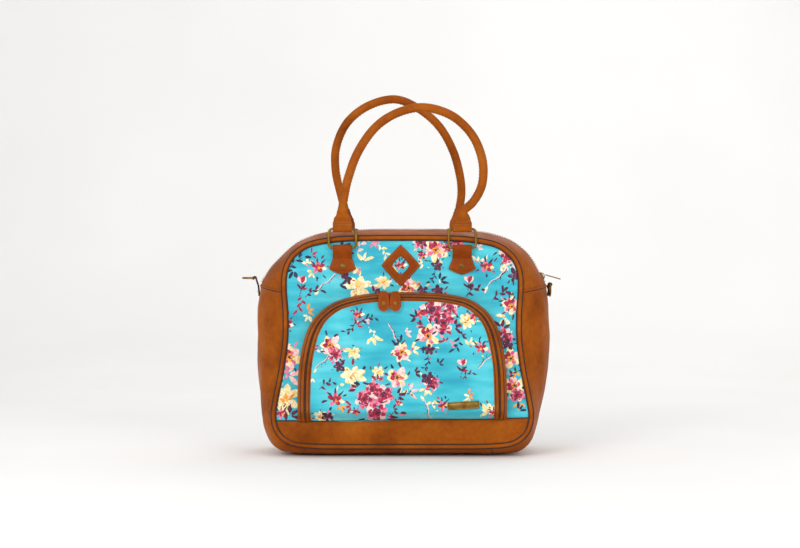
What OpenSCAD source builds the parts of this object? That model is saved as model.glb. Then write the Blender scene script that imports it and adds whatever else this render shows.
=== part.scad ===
// Zip-top shoulder bag with two rolled handles, a zipped front pocket and side rings.
// Millimetres. The origin is at the middle of the underside, +Z is up and the front faces -Y.

/* [Body] */
// Depth of the bag from front face to back face
body_depth = 150; // [130:1:180]
// Half width of the bag half way between front and back
mid_half_width = 194.5; // [188:0.5:200]
// Height of the zipped top half way between front and back
mid_height = 295; // [290:1:305]
// Half width of the front face at its bottom corners
face_half_width = 171; // [165:1:176]
// Half width of the front face at its top corners
face_top_half_width = 157; // [150:1:164]
// Height of the front face's top edge
face_top = 286; // [282:1:290]
// Height of the front face's bottom edge
face_bottom = 8; // [6:1:12]
// Height where the plain base band meets the printed panel
band_top = 47; // [42:1:50]
// Width of the round piping seen from the front
piping_width = 4.5; // [4:0.5:6]

/* [Opening] */
// Height at which the printed panel folds when the top opens
fold_height = 220; // [218:1:221]
// Height at which the two zip strips part from the side gussets
strip_start = 240; // [238:1:244]
// Width of the dark zip tape and coil, both halves together
coil_width = 8; // [6:1:10]

/* [Front pocket] */
// Half width of the pocket
pocket_half_width = 135; // [125:1:138]
// Height of the pocket's top edge
pocket_top = 213; // [205:1:215]
// Radius of the pocket's top corners
pocket_corner = 78; // [60:1:85]
// How far the pocket stands out from the front face
pocket_depth = 22; // [18:1:28]

/* [Handles] */
// Diameter of the rolled handle
handle_diameter = 12; // [10:0.5:13]
// Sideways distance of the handle tabs from the middle
tab_offset = 78; // [74:1:80]
// Outer width of a handle ring
ring_width = 39; // [37:1:42]
// Outer height of a handle ring
ring_height = 28; // [26:1:30]
// Wire diameter of a handle ring
ring_wire = 3.5; // [3:0.1:3.8]

/* [Side rings] */
// Height of the left side ring's loop
left_loop_height = 231; // [226:1:232]
// Height of the right side ring's loop
right_loop_height = 222.5; // [220:0.5:224]
// Wire diameter of a side ring
side_wire = 2.5; // [2:0.1:2.8]

/* [Hidden] */

turquoise = "#4cc5d4";
tan = "#b0692a";
dark = "#5a2a0c";
brass = "#8a7a48";
cream = "#d9c7a3";

wall = 3;
gap = 0.3;
big = 1000;
arc_steps = 10;

// Depths, measured from the middle plane
face_y = body_depth / 2;
gusset_y = face_y - wall;
flat_y = 35;

// Corner arcs of the front face: centre x, centre z, radius
face_low = [face_half_width - 45, face_bottom + 45, 45];
face_high = [face_top_half_width - 60, face_top - 60, 60];

// Arcs of the outline half way back: bottom corner and long shoulder
mid_low = [132, 52, 52];
mid_side_z = 120;
shoulder_radius = 105;
shoulder = [89.5, mid_height - shoulder_radius, shoulder_radius];
shoulder_start = acos((mid_half_width - shoulder[0]) / shoulder_radius);

// Pocket layers, measured inwards from the pocket's outline
outer_strip_in = 6;
outer_coil_in = 7.2;
inner_coil_in = 8.7;
inner_band_in = 15;
pocket_face_y = -face_y - pocket_depth;
flap_bottom = band_top + 2;

// Rings and their loops
ring_y = -face_y - 6.5;
tab_loop_z = 272;
ring_mid_w = ring_width - ring_wire;
ring_mid_h = ring_height - ring_wire;
ring_top_z = tab_loop_z + ring_mid_h;
ring_corner = 5.2;
end_width = 25;
loop_bore = ring_wire / 2 + 0.35;
tab_thick = 3;
rivet_z = 248;
handle_start_z = 320;
handle_apex_lean = 11;

side_loop_x = mid_half_width + 4.2;
side_loop_width = 17;

// Zip slider of the top, as an angle on the shoulder arc
slider_angle = 24;
slider_lift = 0.5;
slider_length = 11;
slider_thick = 3.5;
pull_lift = 3;
pull_angle = -16;

// Centre lines of the handles, as [x, z] from left end to right end
front_route = [
    [-78, 320], [-76, 337], [-70, 364], [-57, 398], [-34, 430], [-4, 449], [30, 455],
    [65, 444], [91, 419], [104, 387], [104, 356], [93, 333], [78, 320]
];
back_route = [
    [-78, 320], [-85, 346], [-92, 378], [-92, 412], [-79, 446], [-50, 469], [-10, 476],
    [23, 463], [51, 439], [70, 406], [80, 371], [82, 345], [78, 320]
];

function arc(c, inset, a0, a1) = [
    for (i = [0 : arc_steps])
        let (a = a0 + (a1 - a0) * i / arc_steps)
        [c[0] + (c[2] - inset) * cos(a), c[1] + (c[2] - inset) * sin(a)]
];
function both_sides(half) = concat(
    half, [for (i = [len(half) - 1 : -1 : 0]) [-half[i][0], half[i][1]]]
);
function face_outline(inset) = both_sides(
    concat(arc(face_low, inset, -90, 0), arc(face_high, inset, 0, 90))
);
function mid_outline(inset) = both_sides(concat(
    arc(mid_low, inset, -90, 0),
    [[mid_half_width - inset, mid_side_z]],
    arc(shoulder, inset, shoulder_start, 90)
));
function pocket_outline(inset, bottom) = both_sides(concat(
    [[pocket_half_width - inset, bottom]],
    arc([pocket_half_width - pocket_corner, pocket_top - pocket_corner, pocket_corner],
        inset, 0, 90)
));

// Smooth curve through the points of a route
function spline_at(p0, p1, p2, p3, t) = 0.5 * (
    2 * p1 + (p2 - p0) * t + (2 * p0 - 5 * p1 + 4 * p2 - p3) * t * t
    + (3 * p1 - p0 - 3 * p2 + p3) * t * t * t
);
function spline(route, steps) = concat(
    [
        for (i = [0 : len(route) - 2], k = [0 : steps - 1])
            spline_at(
                route[max(i - 1, 0)], route[i], route[i + 1],
                route[min(i + 2, len(route) - 1)], k / steps
            )
    ],
    [route[len(route) - 1]]
);
function unit(v) = v / norm(v);

// A flat plate: an outline in X and Z between two depths
module plate(points, y0, y1) {
    translate([0, y1, 0]) rotate([90, 0, 0]) linear_extrude(y1 - y0) polygon(points);
}

// Keeps what lies between two heights
module between(z0, z1) {
    intersection() {
        children();
        translate([-big / 2, -big / 2, z0]) cube([big, big, z1 - z0]);
    }
}

// The bag's round-cornered block
module bag_block(inset, end_y) {
    hull() {
        plate(face_outline(inset), -end_y, -end_y + 0.1);
        plate(mid_outline(inset), -flat_y, flat_y);
        plate(face_outline(inset), end_y - 0.1, end_y);
    }
}

// The sheet that runs round between the front face and the back face
module gusset_shell() {
    difference() {
        bag_block(0, gusset_y);
        bag_block(wall, gusset_y + 0.1);
    }
}

module face_sheet(z0, z1, thick) {
    between(z0, z1) plate(face_outline(piping_width), -gusset_y - thick, -gusset_y);
}

module face_piping(z0, z1) {
    between(z0, z1) difference() {
        plate(face_outline(0), -face_y - 2, -gusset_y);
        plate(face_outline(piping_width), -face_y - 3, -gusset_y + 1);
    }
}

module zip_strip() {
    intersection() {
        gusset_shell();
        translate([-big / 2, -big, strip_start + gap]) cube([big, big - coil_width / 2, big]);
    }
}

module zip_coil() {
    intersection() {
        gusset_shell();
        translate([-big / 2, -coil_width / 2, strip_start + gap])
            cube([big, coil_width / 2 - gap / 2, big]);
    }
}

module side_gusset() {
    difference() {
        intersection() {
            gusset_shell();
            translate([0, -big / 2, mid_low[1]]) cube([big, big, strip_start - mid_low[1]]);
        }
        translate([0, -coil_width / 2, 222]) cube([big, coil_width, big]);
    }
}

module zip_end() {
    intersection() {
        gusset_shell();
        translate([0, -coil_width / 2, 222]) cube([big, coil_width, strip_start - 222]);
    }
}

// Leather tab on the front face with a loop for the handle ring
module handle_tab(x) {
    half = [[12.5, tab_loop_z], [12.5, 258], [17.7, 245], [13, 240], [3, 237.4]];
    translate([x, 0, 0]) difference() {
        union() {
            plate(both_sides([for (i = [4 : -1 : 0]) half[i]]), -face_y - tab_thick, -face_y);
            translate([-12.5, ring_y, tab_loop_z]) rotate([0, 90, 0]) cylinder(r = 4.4, h = 25);
        }
        translate([-20, ring_y, tab_loop_z]) rotate([0, 90, 0]) cylinder(r = loop_bore, h = 40);
    }
}

module dome_rivet(x, z, back_y, radius) {
    translate([x, back_y, z]) rotate([90, 0, 0]) {
        cylinder(r = radius, h = 1);
        translate([0, 0, 1]) cylinder(r1 = radius, r2 = radius * 0.6, h = 0.9);
    }
}

// Wire ring with round corners, lying in the XZ plane from z = 0 up
module wire_ring(w, h, corner, radius) {
    for (s = [-1, 1]) {
        translate([s * w / 2, 0, corner]) cylinder(r = radius, h = h - 2 * corner);
        for (top = [0, 1])
            translate([s * (w / 2 - corner), 0, corner + top * (h - 2 * corner)])
                rotate([90, top == 1 ? (s == 1 ? 0 : -90) : (s == 1 ? 90 : 180), 0])
                rotate_extrude(angle = 90) translate([corner, 0]) circle(r = radius);
    }
    for (z = [0, h])
        translate([-w / 2 + corner, 0, z]) rotate([0, 90, 0])
            cylinder(r = radius, h = w - 2 * corner);
}

module handle_ring(x) {
    translate([x, ring_y, tab_loop_z]) wire_ring(ring_mid_w, ring_mid_h, ring_corner, ring_wire / 2);
}

// Tube swept along a route in the XZ plane, leaning towards the middle as it rises
module handle_tube(route) {
    sides = 12;
    flat = spline(route, 3);
    apex = max([for (p = flat) p[1]]);
    path = [
        for (p = flat)
            [p[0], ring_y + handle_apex_lean * pow((p[1] - handle_start_z)
                / (apex - handle_start_z), 1.5), p[1]]
    ];
    last = len(path) - 1;
    points = [
        for (i = [0 : last])
            let (
                t = i == 0 ? [0, 0, 1] : i == last ? [0, 0, -1]
                    : unit(path[i + 1] - path[i - 1]),
                n = unit(cross([0, 1, 0], t)),
                b = cross(t, n)
            )
            for (k = [0 : sides - 1])
                let (a = 360 * k / sides)
                path[i] + handle_diameter / 2 * (cos(a) * n + sin(a) * b)
    ];
    walls = [
        for (i = [0 : last - 1], k = [0 : sides - 1])
            let (m = (k + 1) % sides)
            [i * sides + k, i * sides + m, (i + 1) * sides + m, (i + 1) * sides + k]
    ];
    ends = [
        [for (k = [sides - 1 : -1 : 0]) k],
        [for (k = [0 : sides - 1]) last * sides + k]
    ];
    polyhedron(points, concat([for (f = walls) [f[3], f[2], f[1], f[0]]],
        [for (f = ends) [for (j = [len(f) - 1 : -1 : 0]) f[j]]]));
}

// Flat leather end of a handle, folded round the top of its ring
module handle_end(x) {
    translate([x, ring_y, 0]) {
        difference() {
            union() {
                translate([-end_width / 2, 0, ring_top_z]) rotate([0, 90, 0])
                    cylinder(r = 4.2, h = end_width);
                translate([-end_width / 2, -2.6, ring_top_z]) cube([end_width, 5.2, 8]);
            }
            translate([-20, 0, ring_top_z]) rotate([0, 90, 0]) cylinder(r = loop_bore, h = 40);
        }
        hull() {
            translate([-end_width / 2, -2.6, ring_top_z + 8]) cube([end_width, 5.2, 0.1]);
            translate([0, 0, handle_start_z - 0.5])
                cylinder(r = handle_diameter / 2, h = 0.3, $fn = 32);
        }
    }
}

// Arch between two insets of the pocket's outline
module pocket_arch(in0, in1, bottom, y0, y1) {
    difference() {
        plate(pocket_outline(in0, bottom), y0, y1);
        plate(pocket_outline(in1, bottom - 1), y0 - 1, y1 + 1);
    }
}

module pocket_slider(x) {
    translate([x - 4.7, pocket_face_y - 2.4, pocket_top - 12]) cube([9.4, 3.6, 9.5]);
    translate([x - 2, pocket_face_y - 3.9, pocket_top - 5.5]) cube([4, 1.6, 5]);
}

module pocket_pull(x) {
    translate([x, pocket_face_y - 4.2, 0]) rotate([90, 0, 0]) linear_extrude(2.8) {
        translate([0, 197.5]) circle(r = 7.2);
        translate([-7.2, 197.5]) square([14.4, 12]);
        polygon([[-7.2, 209.4], [7.2, 209.4], [4.2, 213], [4.2, 216.5], [-4.2, 216.5],
            [-4.2, 213]]);
    }
}

module side_tab(z) {
    difference() {
        union() {
            translate([mid_half_width + 0.2, -side_loop_width / 2, 208])
                cube([1.8, side_loop_width, z - 208]);
            translate([side_loop_x, -side_loop_width / 2, z]) rotate([-90, 0, 0])
                cylinder(r = 2.7, h = side_loop_width);
        }
        translate([side_loop_x, -20, z]) rotate([-90, 0, 0])
            cylinder(r = side_wire / 2 + 0.25, h = 40);
    }
}

// Half-round wire ring: a straight bar along Y at z = 0 and a bow above it
module d_ring() {
    a = 10.5;
    leg = 5;
    r = side_wire / 2;
    translate([0, -a, 0]) rotate([-90, 0, 0]) cylinder(r = r, h = 2 * a);
    for (s = [-1, 1]) {
        translate([0, s * a, 0]) sphere(r = r);
        translate([0, s * a, 0]) cylinder(r = r, h = leg);
    }
    translate([0, 0, leg]) rotate([90, 0, 90]) rotate_extrude(angle = 180)
        translate([a, 0]) circle(r = r);
}

module back() {
    mirror([0, 1, 0]) children();
}

module left() {
    mirror([1, 0, 0]) children();
}

module on_shoulder(angle, lift) {
    translate([shoulder[0], 0, shoulder[1]]) rotate([0, -angle, 0])
        translate([shoulder_radius + lift, 0, 0]) children();
}

// Sub-parts of the bag's body

module front_panel() {
    color(turquoise) face_sheet(band_top, fold_height, wall);
}
module back_panel() {
    color(turquoise) back() face_sheet(band_top, fold_height, wall);
}
module front_base_band() {
    color(tan) face_sheet(0, band_top, wall + 0.5);
}
module back_base_band() {
    color(tan) back() face_sheet(0, band_top, wall + 0.5);
}
module side_gusset_left() {
    color(tan) left() side_gusset();
}
module side_gusset_right() {
    color(tan) side_gusset();
}
module base_gusset() {
    color(tan) between(-1, mid_low[1]) gusset_shell();
}
module front_piping() {
    color(tan) face_piping(0, fold_height);
}
module back_piping() {
    color(tan) back() face_piping(0, fold_height);
}
module lining() {
    color(cream) between(0, fold_height - gap) difference() {
        bag_block(wall + gap, gusset_y - gap);
        bag_block(wall + gap + 1, gusset_y - gap - 1);
    }
}
module base_board() {
    color(cream) translate([-130, -54, 11]) cube([260, 108, 3]);
}
module inner_pocket() {
    color(cream) difference() {
        translate([-95, gusset_y - 6, 60]) cube([190, 4.6, 110]);
        translate([-93, gusset_y - 4.8, 62]) cube([186, 2.2, 120]);
    }
}
module inner_pocket_elastic() {
    color(tan) translate([-95, gusset_y - 7.6, 160]) cube([190, 1.6, 10]);
}
module pocket_gusset() {
    color(tan) {
        pocket_arch(0, 2.5, band_top, pocket_face_y + 6, -face_y);
        pocket_arch(0, outer_strip_in, band_top, pocket_face_y + 3, pocket_face_y + 6);
    }
}
module pocket_coil_outer() {
    color(dark) pocket_arch(outer_strip_in, outer_coil_in, band_top, pocket_face_y + 3.4,
        pocket_face_y + 6);
}
module zip_end_left() {
    color(dark) left() zip_end();
}
module zip_end_right() {
    color(dark) zip_end();
}
module side_tab_left() {
    color(dark) left() side_tab(left_loop_height);
}
module side_tab_right() {
    color(dark) side_tab(right_loop_height);
}

// Sub-parts of the front half of the top

module front_panel_top() {
    color(turquoise) face_sheet(fold_height + gap, big, wall);
}
module front_piping_top() {
    color(tan) face_piping(fold_height + gap, big);
}
module front_zip_strip() {
    color(tan) zip_strip();
}
module front_zip_coil() {
    color(dark) zip_coil();
}
module front_tab_left() {
    color(tan) handle_tab(-tab_offset);
}
module front_tab_right() {
    color(tan) handle_tab(tab_offset);
}
module front_rivet_left() {
    color(brass) dome_rivet(-tab_offset, rivet_z, -face_y - tab_thick, 3.8);
}
module front_rivet_right() {
    color(brass) dome_rivet(tab_offset, rivet_z, -face_y - tab_thick, 3.8);
}
module diamond_patch() {
    color(tan) difference() {
        plate([[-2, 221.5], [24, 249], [-2, 276.5], [-28, 249]], -face_y - 2, -face_y);
        plate([[-2, 239], [7.5, 249], [-2, 259], [-11.5, 249]], -face_y - 3, -face_y + 1);
    }
}

// Sub-parts of the back half of the top

module back_panel_top() {
    color(turquoise) back() face_sheet(fold_height + gap, big, wall);
}
module back_piping_top() {
    color(tan) back() face_piping(fold_height + gap, big);
}
module back_zip_strip() {
    color(tan) back() zip_strip();
}
module back_zip_coil() {
    color(dark) back() zip_coil();
}
module back_tab_left() {
    color(tan) back() handle_tab(-tab_offset);
}
module back_tab_right() {
    color(tan) back() handle_tab(tab_offset);
}
module back_rivet_left() {
    color(brass) back() dome_rivet(-tab_offset, rivet_z, -face_y - tab_thick, 3.8);
}
module back_rivet_right() {
    color(brass) back() dome_rivet(tab_offset, rivet_z, -face_y - tab_thick, 3.8);
}

// Rings and handles

module front_ring_left() {
    color(brass) handle_ring(-tab_offset);
}
module front_ring_right() {
    color(brass) handle_ring(tab_offset);
}
module back_ring_left() {
    color(brass) back() handle_ring(-tab_offset);
}
module back_ring_right() {
    color(brass) back() handle_ring(tab_offset);
}
module front_handle() {
    color(tan) handle_tube(front_route);
}
module front_handle_end_left() {
    color(tan) handle_end(-tab_offset);
}
module front_handle_end_right() {
    color(tan) handle_end(tab_offset);
}
module back_handle() {
    color(tan) back() handle_tube(back_route);
}
module back_handle_end_left() {
    color(tan) back() handle_end(-tab_offset);
}
module back_handle_end_right() {
    color(tan) back() handle_end(tab_offset);
}

// Pocket flap, its zip sliders and pulls

module pocket_panel() {
    color(turquoise) plate(pocket_outline(inner_band_in, flap_bottom), pocket_face_y,
        pocket_face_y + 3);
}
module pocket_band() {
    color(tan) pocket_arch(inner_coil_in, inner_band_in, flap_bottom, pocket_face_y + 2,
        pocket_face_y + 5);
}
module pocket_coil_inner() {
    color(dark) pocket_arch(outer_coil_in + gap, inner_coil_in, flap_bottom,
        pocket_face_y + 3.4, pocket_face_y + 5);
}
module metal_plate() {
    color(brass) translate([79, pocket_face_y - 1.2, 68]) rotate([0, -3.5, 0])
        translate([-20.5, 0, -5]) cube([41, 1.2, 10]);
}
module pocket_slider_left() {
    color(brass) pocket_slider(-24);
}
module pocket_slider_right() {
    color(brass) pocket_slider(-9);
}
module pocket_pull_left() {
    color(tan) pocket_pull(-24);
}
module pocket_pull_right() {
    color(tan) pocket_pull(-9);
}
module pocket_rivet_left() {
    color(brass) dome_rivet(-24, 201, pocket_face_y - 7, 2.6);
}
module pocket_rivet_right() {
    color(brass) dome_rivet(-9, 201, pocket_face_y - 7, 2.6);
}

// Top zip's slider and pull, and the side rings

module main_slider() {
    color(brass) on_shoulder(slider_angle, slider_lift) {
        translate([0, -5, -slider_length / 2]) cube([slider_thick, 10, slider_length]);
        translate([slider_thick, -1.5, -3]) cube([1.8, 3, 6]);
    }
}
module main_pull() {
    color(brass) on_shoulder(slider_angle, slider_lift + slider_thick + pull_lift) difference() {
        rotate([0, slider_angle - pull_angle, 0]) translate([0, -3.5, -0.8])
            cube([22, 7, 1.6]);
        rotate([0, slider_angle - pull_angle, 0]) translate([17, 0, -2])
            cylinder(r = 1.8, h = 4);
    }
}
module side_ring_left() {
    color(brass) translate([-side_loop_x, 0, left_loop_height]) rotate([0, -90, 0]) d_ring();
}
module side_ring_right() {
    color(brass) translate([side_loop_x, 0, right_loop_height]) rotate([180, 0, 0]) d_ring();
}

front_panel();
back_panel();
front_base_band();
back_base_band();
side_gusset_left();
side_gusset_right();
base_gusset();
front_piping();
back_piping();
lining();
base_board();
inner_pocket();
inner_pocket_elastic();
pocket_gusset();
pocket_coil_outer();
zip_end_left();
zip_end_right();
side_tab_left();
side_tab_right();
front_panel_top();
front_piping_top();
front_zip_strip();
front_zip_coil();
front_tab_left();
front_tab_right();
front_rivet_left();
front_rivet_right();
diamond_patch();
back_panel_top();
back_piping_top();
back_zip_strip();
back_zip_coil();
back_tab_left();
back_tab_right();
back_rivet_left();
back_rivet_right();
front_ring_left();
front_ring_right();
back_ring_left();
back_ring_right();
front_handle();
front_handle_end_left();
front_handle_end_right();
back_handle();
back_handle_end_left();
back_handle_end_right();
pocket_panel();
pocket_band();
pocket_coil_inner();
metal_plate();
pocket_slider_left();
pocket_slider_right();
pocket_pull_left();
pocket_pull_right();
pocket_rivet_left();
pocket_rivet_right();
main_slider();
main_pull();
side_ring_left();
side_ring_right();
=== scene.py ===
"""A diaper bag: printed cloth panels, tan leatherette gussets, zipped top and front pocket."""

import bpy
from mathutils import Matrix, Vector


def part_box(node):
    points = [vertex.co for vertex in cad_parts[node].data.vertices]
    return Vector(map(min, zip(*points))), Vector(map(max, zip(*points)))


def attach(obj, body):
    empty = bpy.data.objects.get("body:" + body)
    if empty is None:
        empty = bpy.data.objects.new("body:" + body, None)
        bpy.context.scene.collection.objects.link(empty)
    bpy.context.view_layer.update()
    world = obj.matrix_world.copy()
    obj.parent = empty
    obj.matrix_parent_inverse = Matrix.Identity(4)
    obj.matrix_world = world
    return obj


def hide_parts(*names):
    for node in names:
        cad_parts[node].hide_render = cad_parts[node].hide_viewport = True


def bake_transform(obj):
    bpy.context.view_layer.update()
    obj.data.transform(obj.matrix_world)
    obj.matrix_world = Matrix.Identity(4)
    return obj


bl_info = {
    "name": "Diaper bag",
    "version": (1, 0, 0),
    "blender": (4, 5, 0),
    "location": "3D Viewport > Sidebar > Bag",
    "description": "Models a zip-top bag with a front pocket round its packed frame",
    "category": "Object",
}

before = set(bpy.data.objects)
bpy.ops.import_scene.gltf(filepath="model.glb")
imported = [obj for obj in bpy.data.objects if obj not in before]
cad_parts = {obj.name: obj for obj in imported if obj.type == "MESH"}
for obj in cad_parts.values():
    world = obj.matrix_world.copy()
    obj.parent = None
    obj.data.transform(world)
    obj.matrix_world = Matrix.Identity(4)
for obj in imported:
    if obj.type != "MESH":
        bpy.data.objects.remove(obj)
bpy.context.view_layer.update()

import math

import bmesh
import bpy
import numpy as np
from mathutils import Matrix, Vector, noise

MM = 0.001


# Sizes read from the frame, in millimetres

def node_box(node):
    low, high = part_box(node)
    return np.array(low) / MM, np.array(high) / MM


GUSSET_HIGH = node_box("base_gusset")[1]
FLAP_LOW = node_box("pocket_panel")[0]
BAND_HIGH = node_box("front_base_band")[1]
PATCH_LOW, PATCH_HIGH = node_box("diamond_patch")
PLATE_LOW, PLATE_HIGH = node_box("metal_plate")
BODY_DEPTH = GUSSET_HIGH[1]
FACE_Y = float(GUSSET_HIGH[1]) + 2.6
BAND_TOP = float(BAND_HIGH[2])

# Outlines of the right half, from the middle of the bottom to the middle of the top:
# the front face, and the bag half way back. Point i of one belongs to point i of the other.
FACE_OUTLINE = [
    (0, 9.5), (60, 9.5), (112, 10), (145, 14), (164, 28), (171, 50), (168, 75), (161, 110),
    (155.5, 150), (155, 185), (157, 215), (156.5, 236), (151.5, 253), (141, 267), (121, 279),
    (85, 285.5), (40, 287.3), (0, 287.5),
]
MIDDLE_OUTLINE = [
    (0, 0), (60, 0), (118, 0), (150, 1.5), (169, 12), (181.5, 38), (188, 66), (193, 104),
    (194.5, 146), (194.5, 185), (191, 221), (184, 235), (172.5, 252), (158, 268), (138, 282),
    (104, 292), (52, 295.5), (0, 296),
]
SEAM_STATION = 10
TOP_STATION = 17
# Depth, length and pattern of the creases in the leatherette of the sides
SIDE_CREASES = (3.8, 56, 3.0)
SEAM_HEIGHT = 219
# How much boxier the gusset is under the bag than at its sides
BASE_SQUARENESS = 3.6
# Outline of the pocket's right half, from its foot to the middle of its top
POCKET_OUTLINE = [
    (137, 46), (137, 80), (135.5, 115), (131, 145), (123.5, 170), (110, 190), (88, 205),
    (58, 212), (28, 214), (0, 214.5),
]


class BagSizes(bpy.types.PropertyGroup):
    """Sizes of the bag's sewn parts"""

    piping: bpy.props.FloatProperty(
        name="Piping", description="Thickness of the piping round each face",
        default=0.005, unit="LENGTH")
    gusset_fullness: bpy.props.FloatProperty(
        name="Gusset fullness", description="How squarely the gusset swells between its seams",
        default=2.6, min=1.5, max=5.0)
    pocket_fullness: bpy.props.FloatProperty(
        name="Pocket fullness", description="How far the pocket's cloth swells past its edge",
        default=0.004, unit="LENGTH")
    stitch_pitch: bpy.props.FloatProperty(
        name="Stitch pitch", description="Distance from one stitch to the next",
        default=0.0034, unit="LENGTH")
    coil_pitch: bpy.props.FloatProperty(
        name="Coil pitch", description="Distance from one turn of a zip's coil to the next",
        default=0.0018, unit="LENGTH")
    handle_thickness: bpy.props.FloatProperty(
        name="Handle thickness", description="Thickness of the rolled handles",
        default=0.0118, unit="LENGTH")


class BagColours(bpy.types.PropertyGroup):
    """Colours of the bag's materials, as sRGB hex"""

    tan: bpy.props.StringProperty(
        name="Tan", description="Leatherette of the trim", default="#9A500E")
    tan_deep: bpy.props.StringProperty(
        name="Deep tan", description="Leatherette in its darker patches", default="#7C3C07")
    # the cut-edge colour also colours the lines of painted shade in the seam creases
    edge: bpy.props.StringProperty(
        name="Cut edge", description="Dark folded and painted edges", default="#3A1806")
    turquoise: bpy.props.StringProperty(
        name="Turquoise", description="Ground of the printed cloth", default="#2DAEC1")
    turquoise_pale: bpy.props.StringProperty(
        name="Pale turquoise", description="Lighter washes of the print", default="#68CFDA")
    brass: bpy.props.StringProperty(
        name="Antique brass", description="Rings, rivets and plate", default="#86662E")
    lining: bpy.props.StringProperty(
        name="Lining", description="Woven lining", default="#CDBB98")
    floor: bpy.props.StringProperty(
        name="Floor", description="Floor and backdrop", default="#F4F3F1")


def sizes():
    return bpy.context.scene.bag_sizes


def colours():
    return bpy.context.scene.bag_colours


# Curves and outlines, all in millimetres

def smooth_curve(points, steps):
    """A smooth curve through the points, with that many samples to each span."""
    points = np.array(points, float)
    last = len(points) - 1
    out = []
    for i in range(last):
        p0, p1 = points[max(i - 1, 0)], points[i]
        p2, p3 = points[i + 1], points[min(i + 2, last)]
        for k in range(steps):
            t = k / steps
            out.append(0.5 * (2 * p1 + (p2 - p0) * t + (2 * p0 - 5 * p1 + 4 * p2 - p3) * t * t
                              + (3 * p1 - p0 - 3 * p2 + p3) * t ** 3))
    out.append(points[last])
    return np.array(out)


def mirrored_loop(half):
    """Both halves of an outline, from its right half."""
    other = half[::-1] * np.array([-1, 1])
    return np.concatenate([half, other[1:]])


def evenly(points, spacing, closed=False):
    """The line through the points, sampled again at an even spacing."""
    points = np.array(points, float)
    if closed:
        points = np.concatenate([points, points[:1]])
    lengths = np.linalg.norm(np.diff(points, axis=0), axis=1)
    along = np.concatenate([[0], np.cumsum(lengths)])
    count = max(2, int(round(along[-1] / spacing)))
    at = np.linspace(0, along[-1], count + 1)
    if closed:
        at = at[:-1]
    return np.stack([np.interp(at, along, points[:, k]) for k in range(points.shape[1])], axis=1)


def tangents(points, closed=False):
    if closed:
        t = np.roll(points, -1, axis=0) - np.roll(points, 1, axis=0)
    else:
        t = np.gradient(points, axis=0)
    return t / np.maximum(np.linalg.norm(t, axis=1, keepdims=True), 1e-9)


def outward(points, closed=False):
    """Outward normals of an outline that runs anticlockwise in X and Z."""
    t = tangents(points, closed)
    return np.stack([t[:, 1], -t[:, 0]], axis=1)


def stations(first, last, steps=8):
    """(face, middle) points of the bag's outline between two stations of its right half."""
    face = smooth_curve(FACE_OUTLINE, steps)
    middle = smooth_curve(MIDDLE_OUTLINE, steps)
    face = mirrored_loop(face)
    middle = mirrored_loop(middle)
    return face[first * steps:last * steps + 1], middle[first * steps:last * steps + 1]


def face_loop(inset=0.0):
    """The whole outline of the front face as a closed line."""
    loop = mirrored_loop(smooth_curve(FACE_OUTLINE, 8))[:-1]
    return loop - outward(loop, True) * inset


def soft_noise(x, y, z, size, seed=0.0):
    """Smooth noise from -1 to 1 whose lumps are about that size."""
    return noise.noise(Vector((x / size + seed, y / size, z / size)))


def lean(z):
    """How far the gusset's middle has slumped sideways: left near the floor, right above."""
    return -2.6 + 4.3 * smoothstep(z, 40, 170) + 3.4 * smoothstep(z, 238, 266)


def gusset_section(face, middle, depths, end_y, inset=0.0):
    """Points of the gusset: rows along the outline, columns from front to back."""
    fullness = sizes().gusset_fullness
    face = face - outward(face) * inset
    middle = middle - outward(middle) * inset
    rows = []
    for f, m in zip(face, middle):
        row = []
        # the base is boxier than the sides
        power = fullness + BASE_SQUARENESS * (1 - smoothstep(m[1], 4, 60))
        for y in depths:
            bulge = 1 - (abs(y) / end_y) ** power
            x, z = f + (m - f) * bulge
            row.append([x + lean(z) * bulge, y, z])
        rows.append(row)
    return np.array(rows)


def creased(grid, depth, size, seed):
    """Pushes a gusset's points in and out, more between its seams than at them."""
    out = grid.copy()
    middle = np.array([0, 0, 140.0])
    for row in out:
        for p in row:
            away = (p - middle) * np.array([1, 0, 1])
            away /= np.linalg.norm(away) + 1e-9
            edge = 1 - (abs(p[1]) / BODY_DEPTH) ** 6
            fold = soft_noise(p[0] * 0.5, p[1] * 2.2, p[2] * 0.45, size, seed)
            fine = soft_noise(p[0], p[1] * 2.4, p[2] * 0.8, size * 0.4, seed + 7)
            # the folds die out at the seam beside the zip and run fuller outwards
            free = smoothstep(abs(p[2] - SEAM_HEIGHT), 0, 34)
            p += away * edge * depth * free * (fold + 0.4 * fine + 0.3)
    return out


# Meshes

def make_piece(name, points, faces, smooth=True):
    """A mesh piece from points in millimetres."""
    mesh = bpy.data.meshes.new(name)
    mesh.from_pydata([tuple(p) for p in np.asarray(points, float) * MM], [], faces)
    mesh.validate()
    if smooth:
        mesh.shade_smooth()
    piece = bpy.data.objects.new(name, mesh)
    bpy.context.scene.collection.objects.link(piece)
    return piece


def grid_faces(rows, columns, close_rows=False, close_columns=False, start=0):
    faces = []
    for i in range(rows if close_rows else rows - 1):
        for j in range(columns if close_columns else columns - 1):
            a, b = i * columns + j, i * columns + (j + 1) % columns
            c, d = ((i + 1) % rows) * columns + (j + 1) % columns, ((i + 1) % rows) * columns + j
            faces.append((start + a, start + b, start + c, start + d))
    return faces


def outward_faces(piece):
    """Makes a piece's faces point outwards."""
    bm = bmesh.new()
    bm.from_mesh(piece.data)
    bmesh.ops.remove_doubles(bm, verts=bm.verts, dist=1e-6)
    bmesh.ops.recalc_face_normals(bm, faces=bm.faces)
    bm.to_mesh(piece.data)
    bm.free()
    return piece


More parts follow.
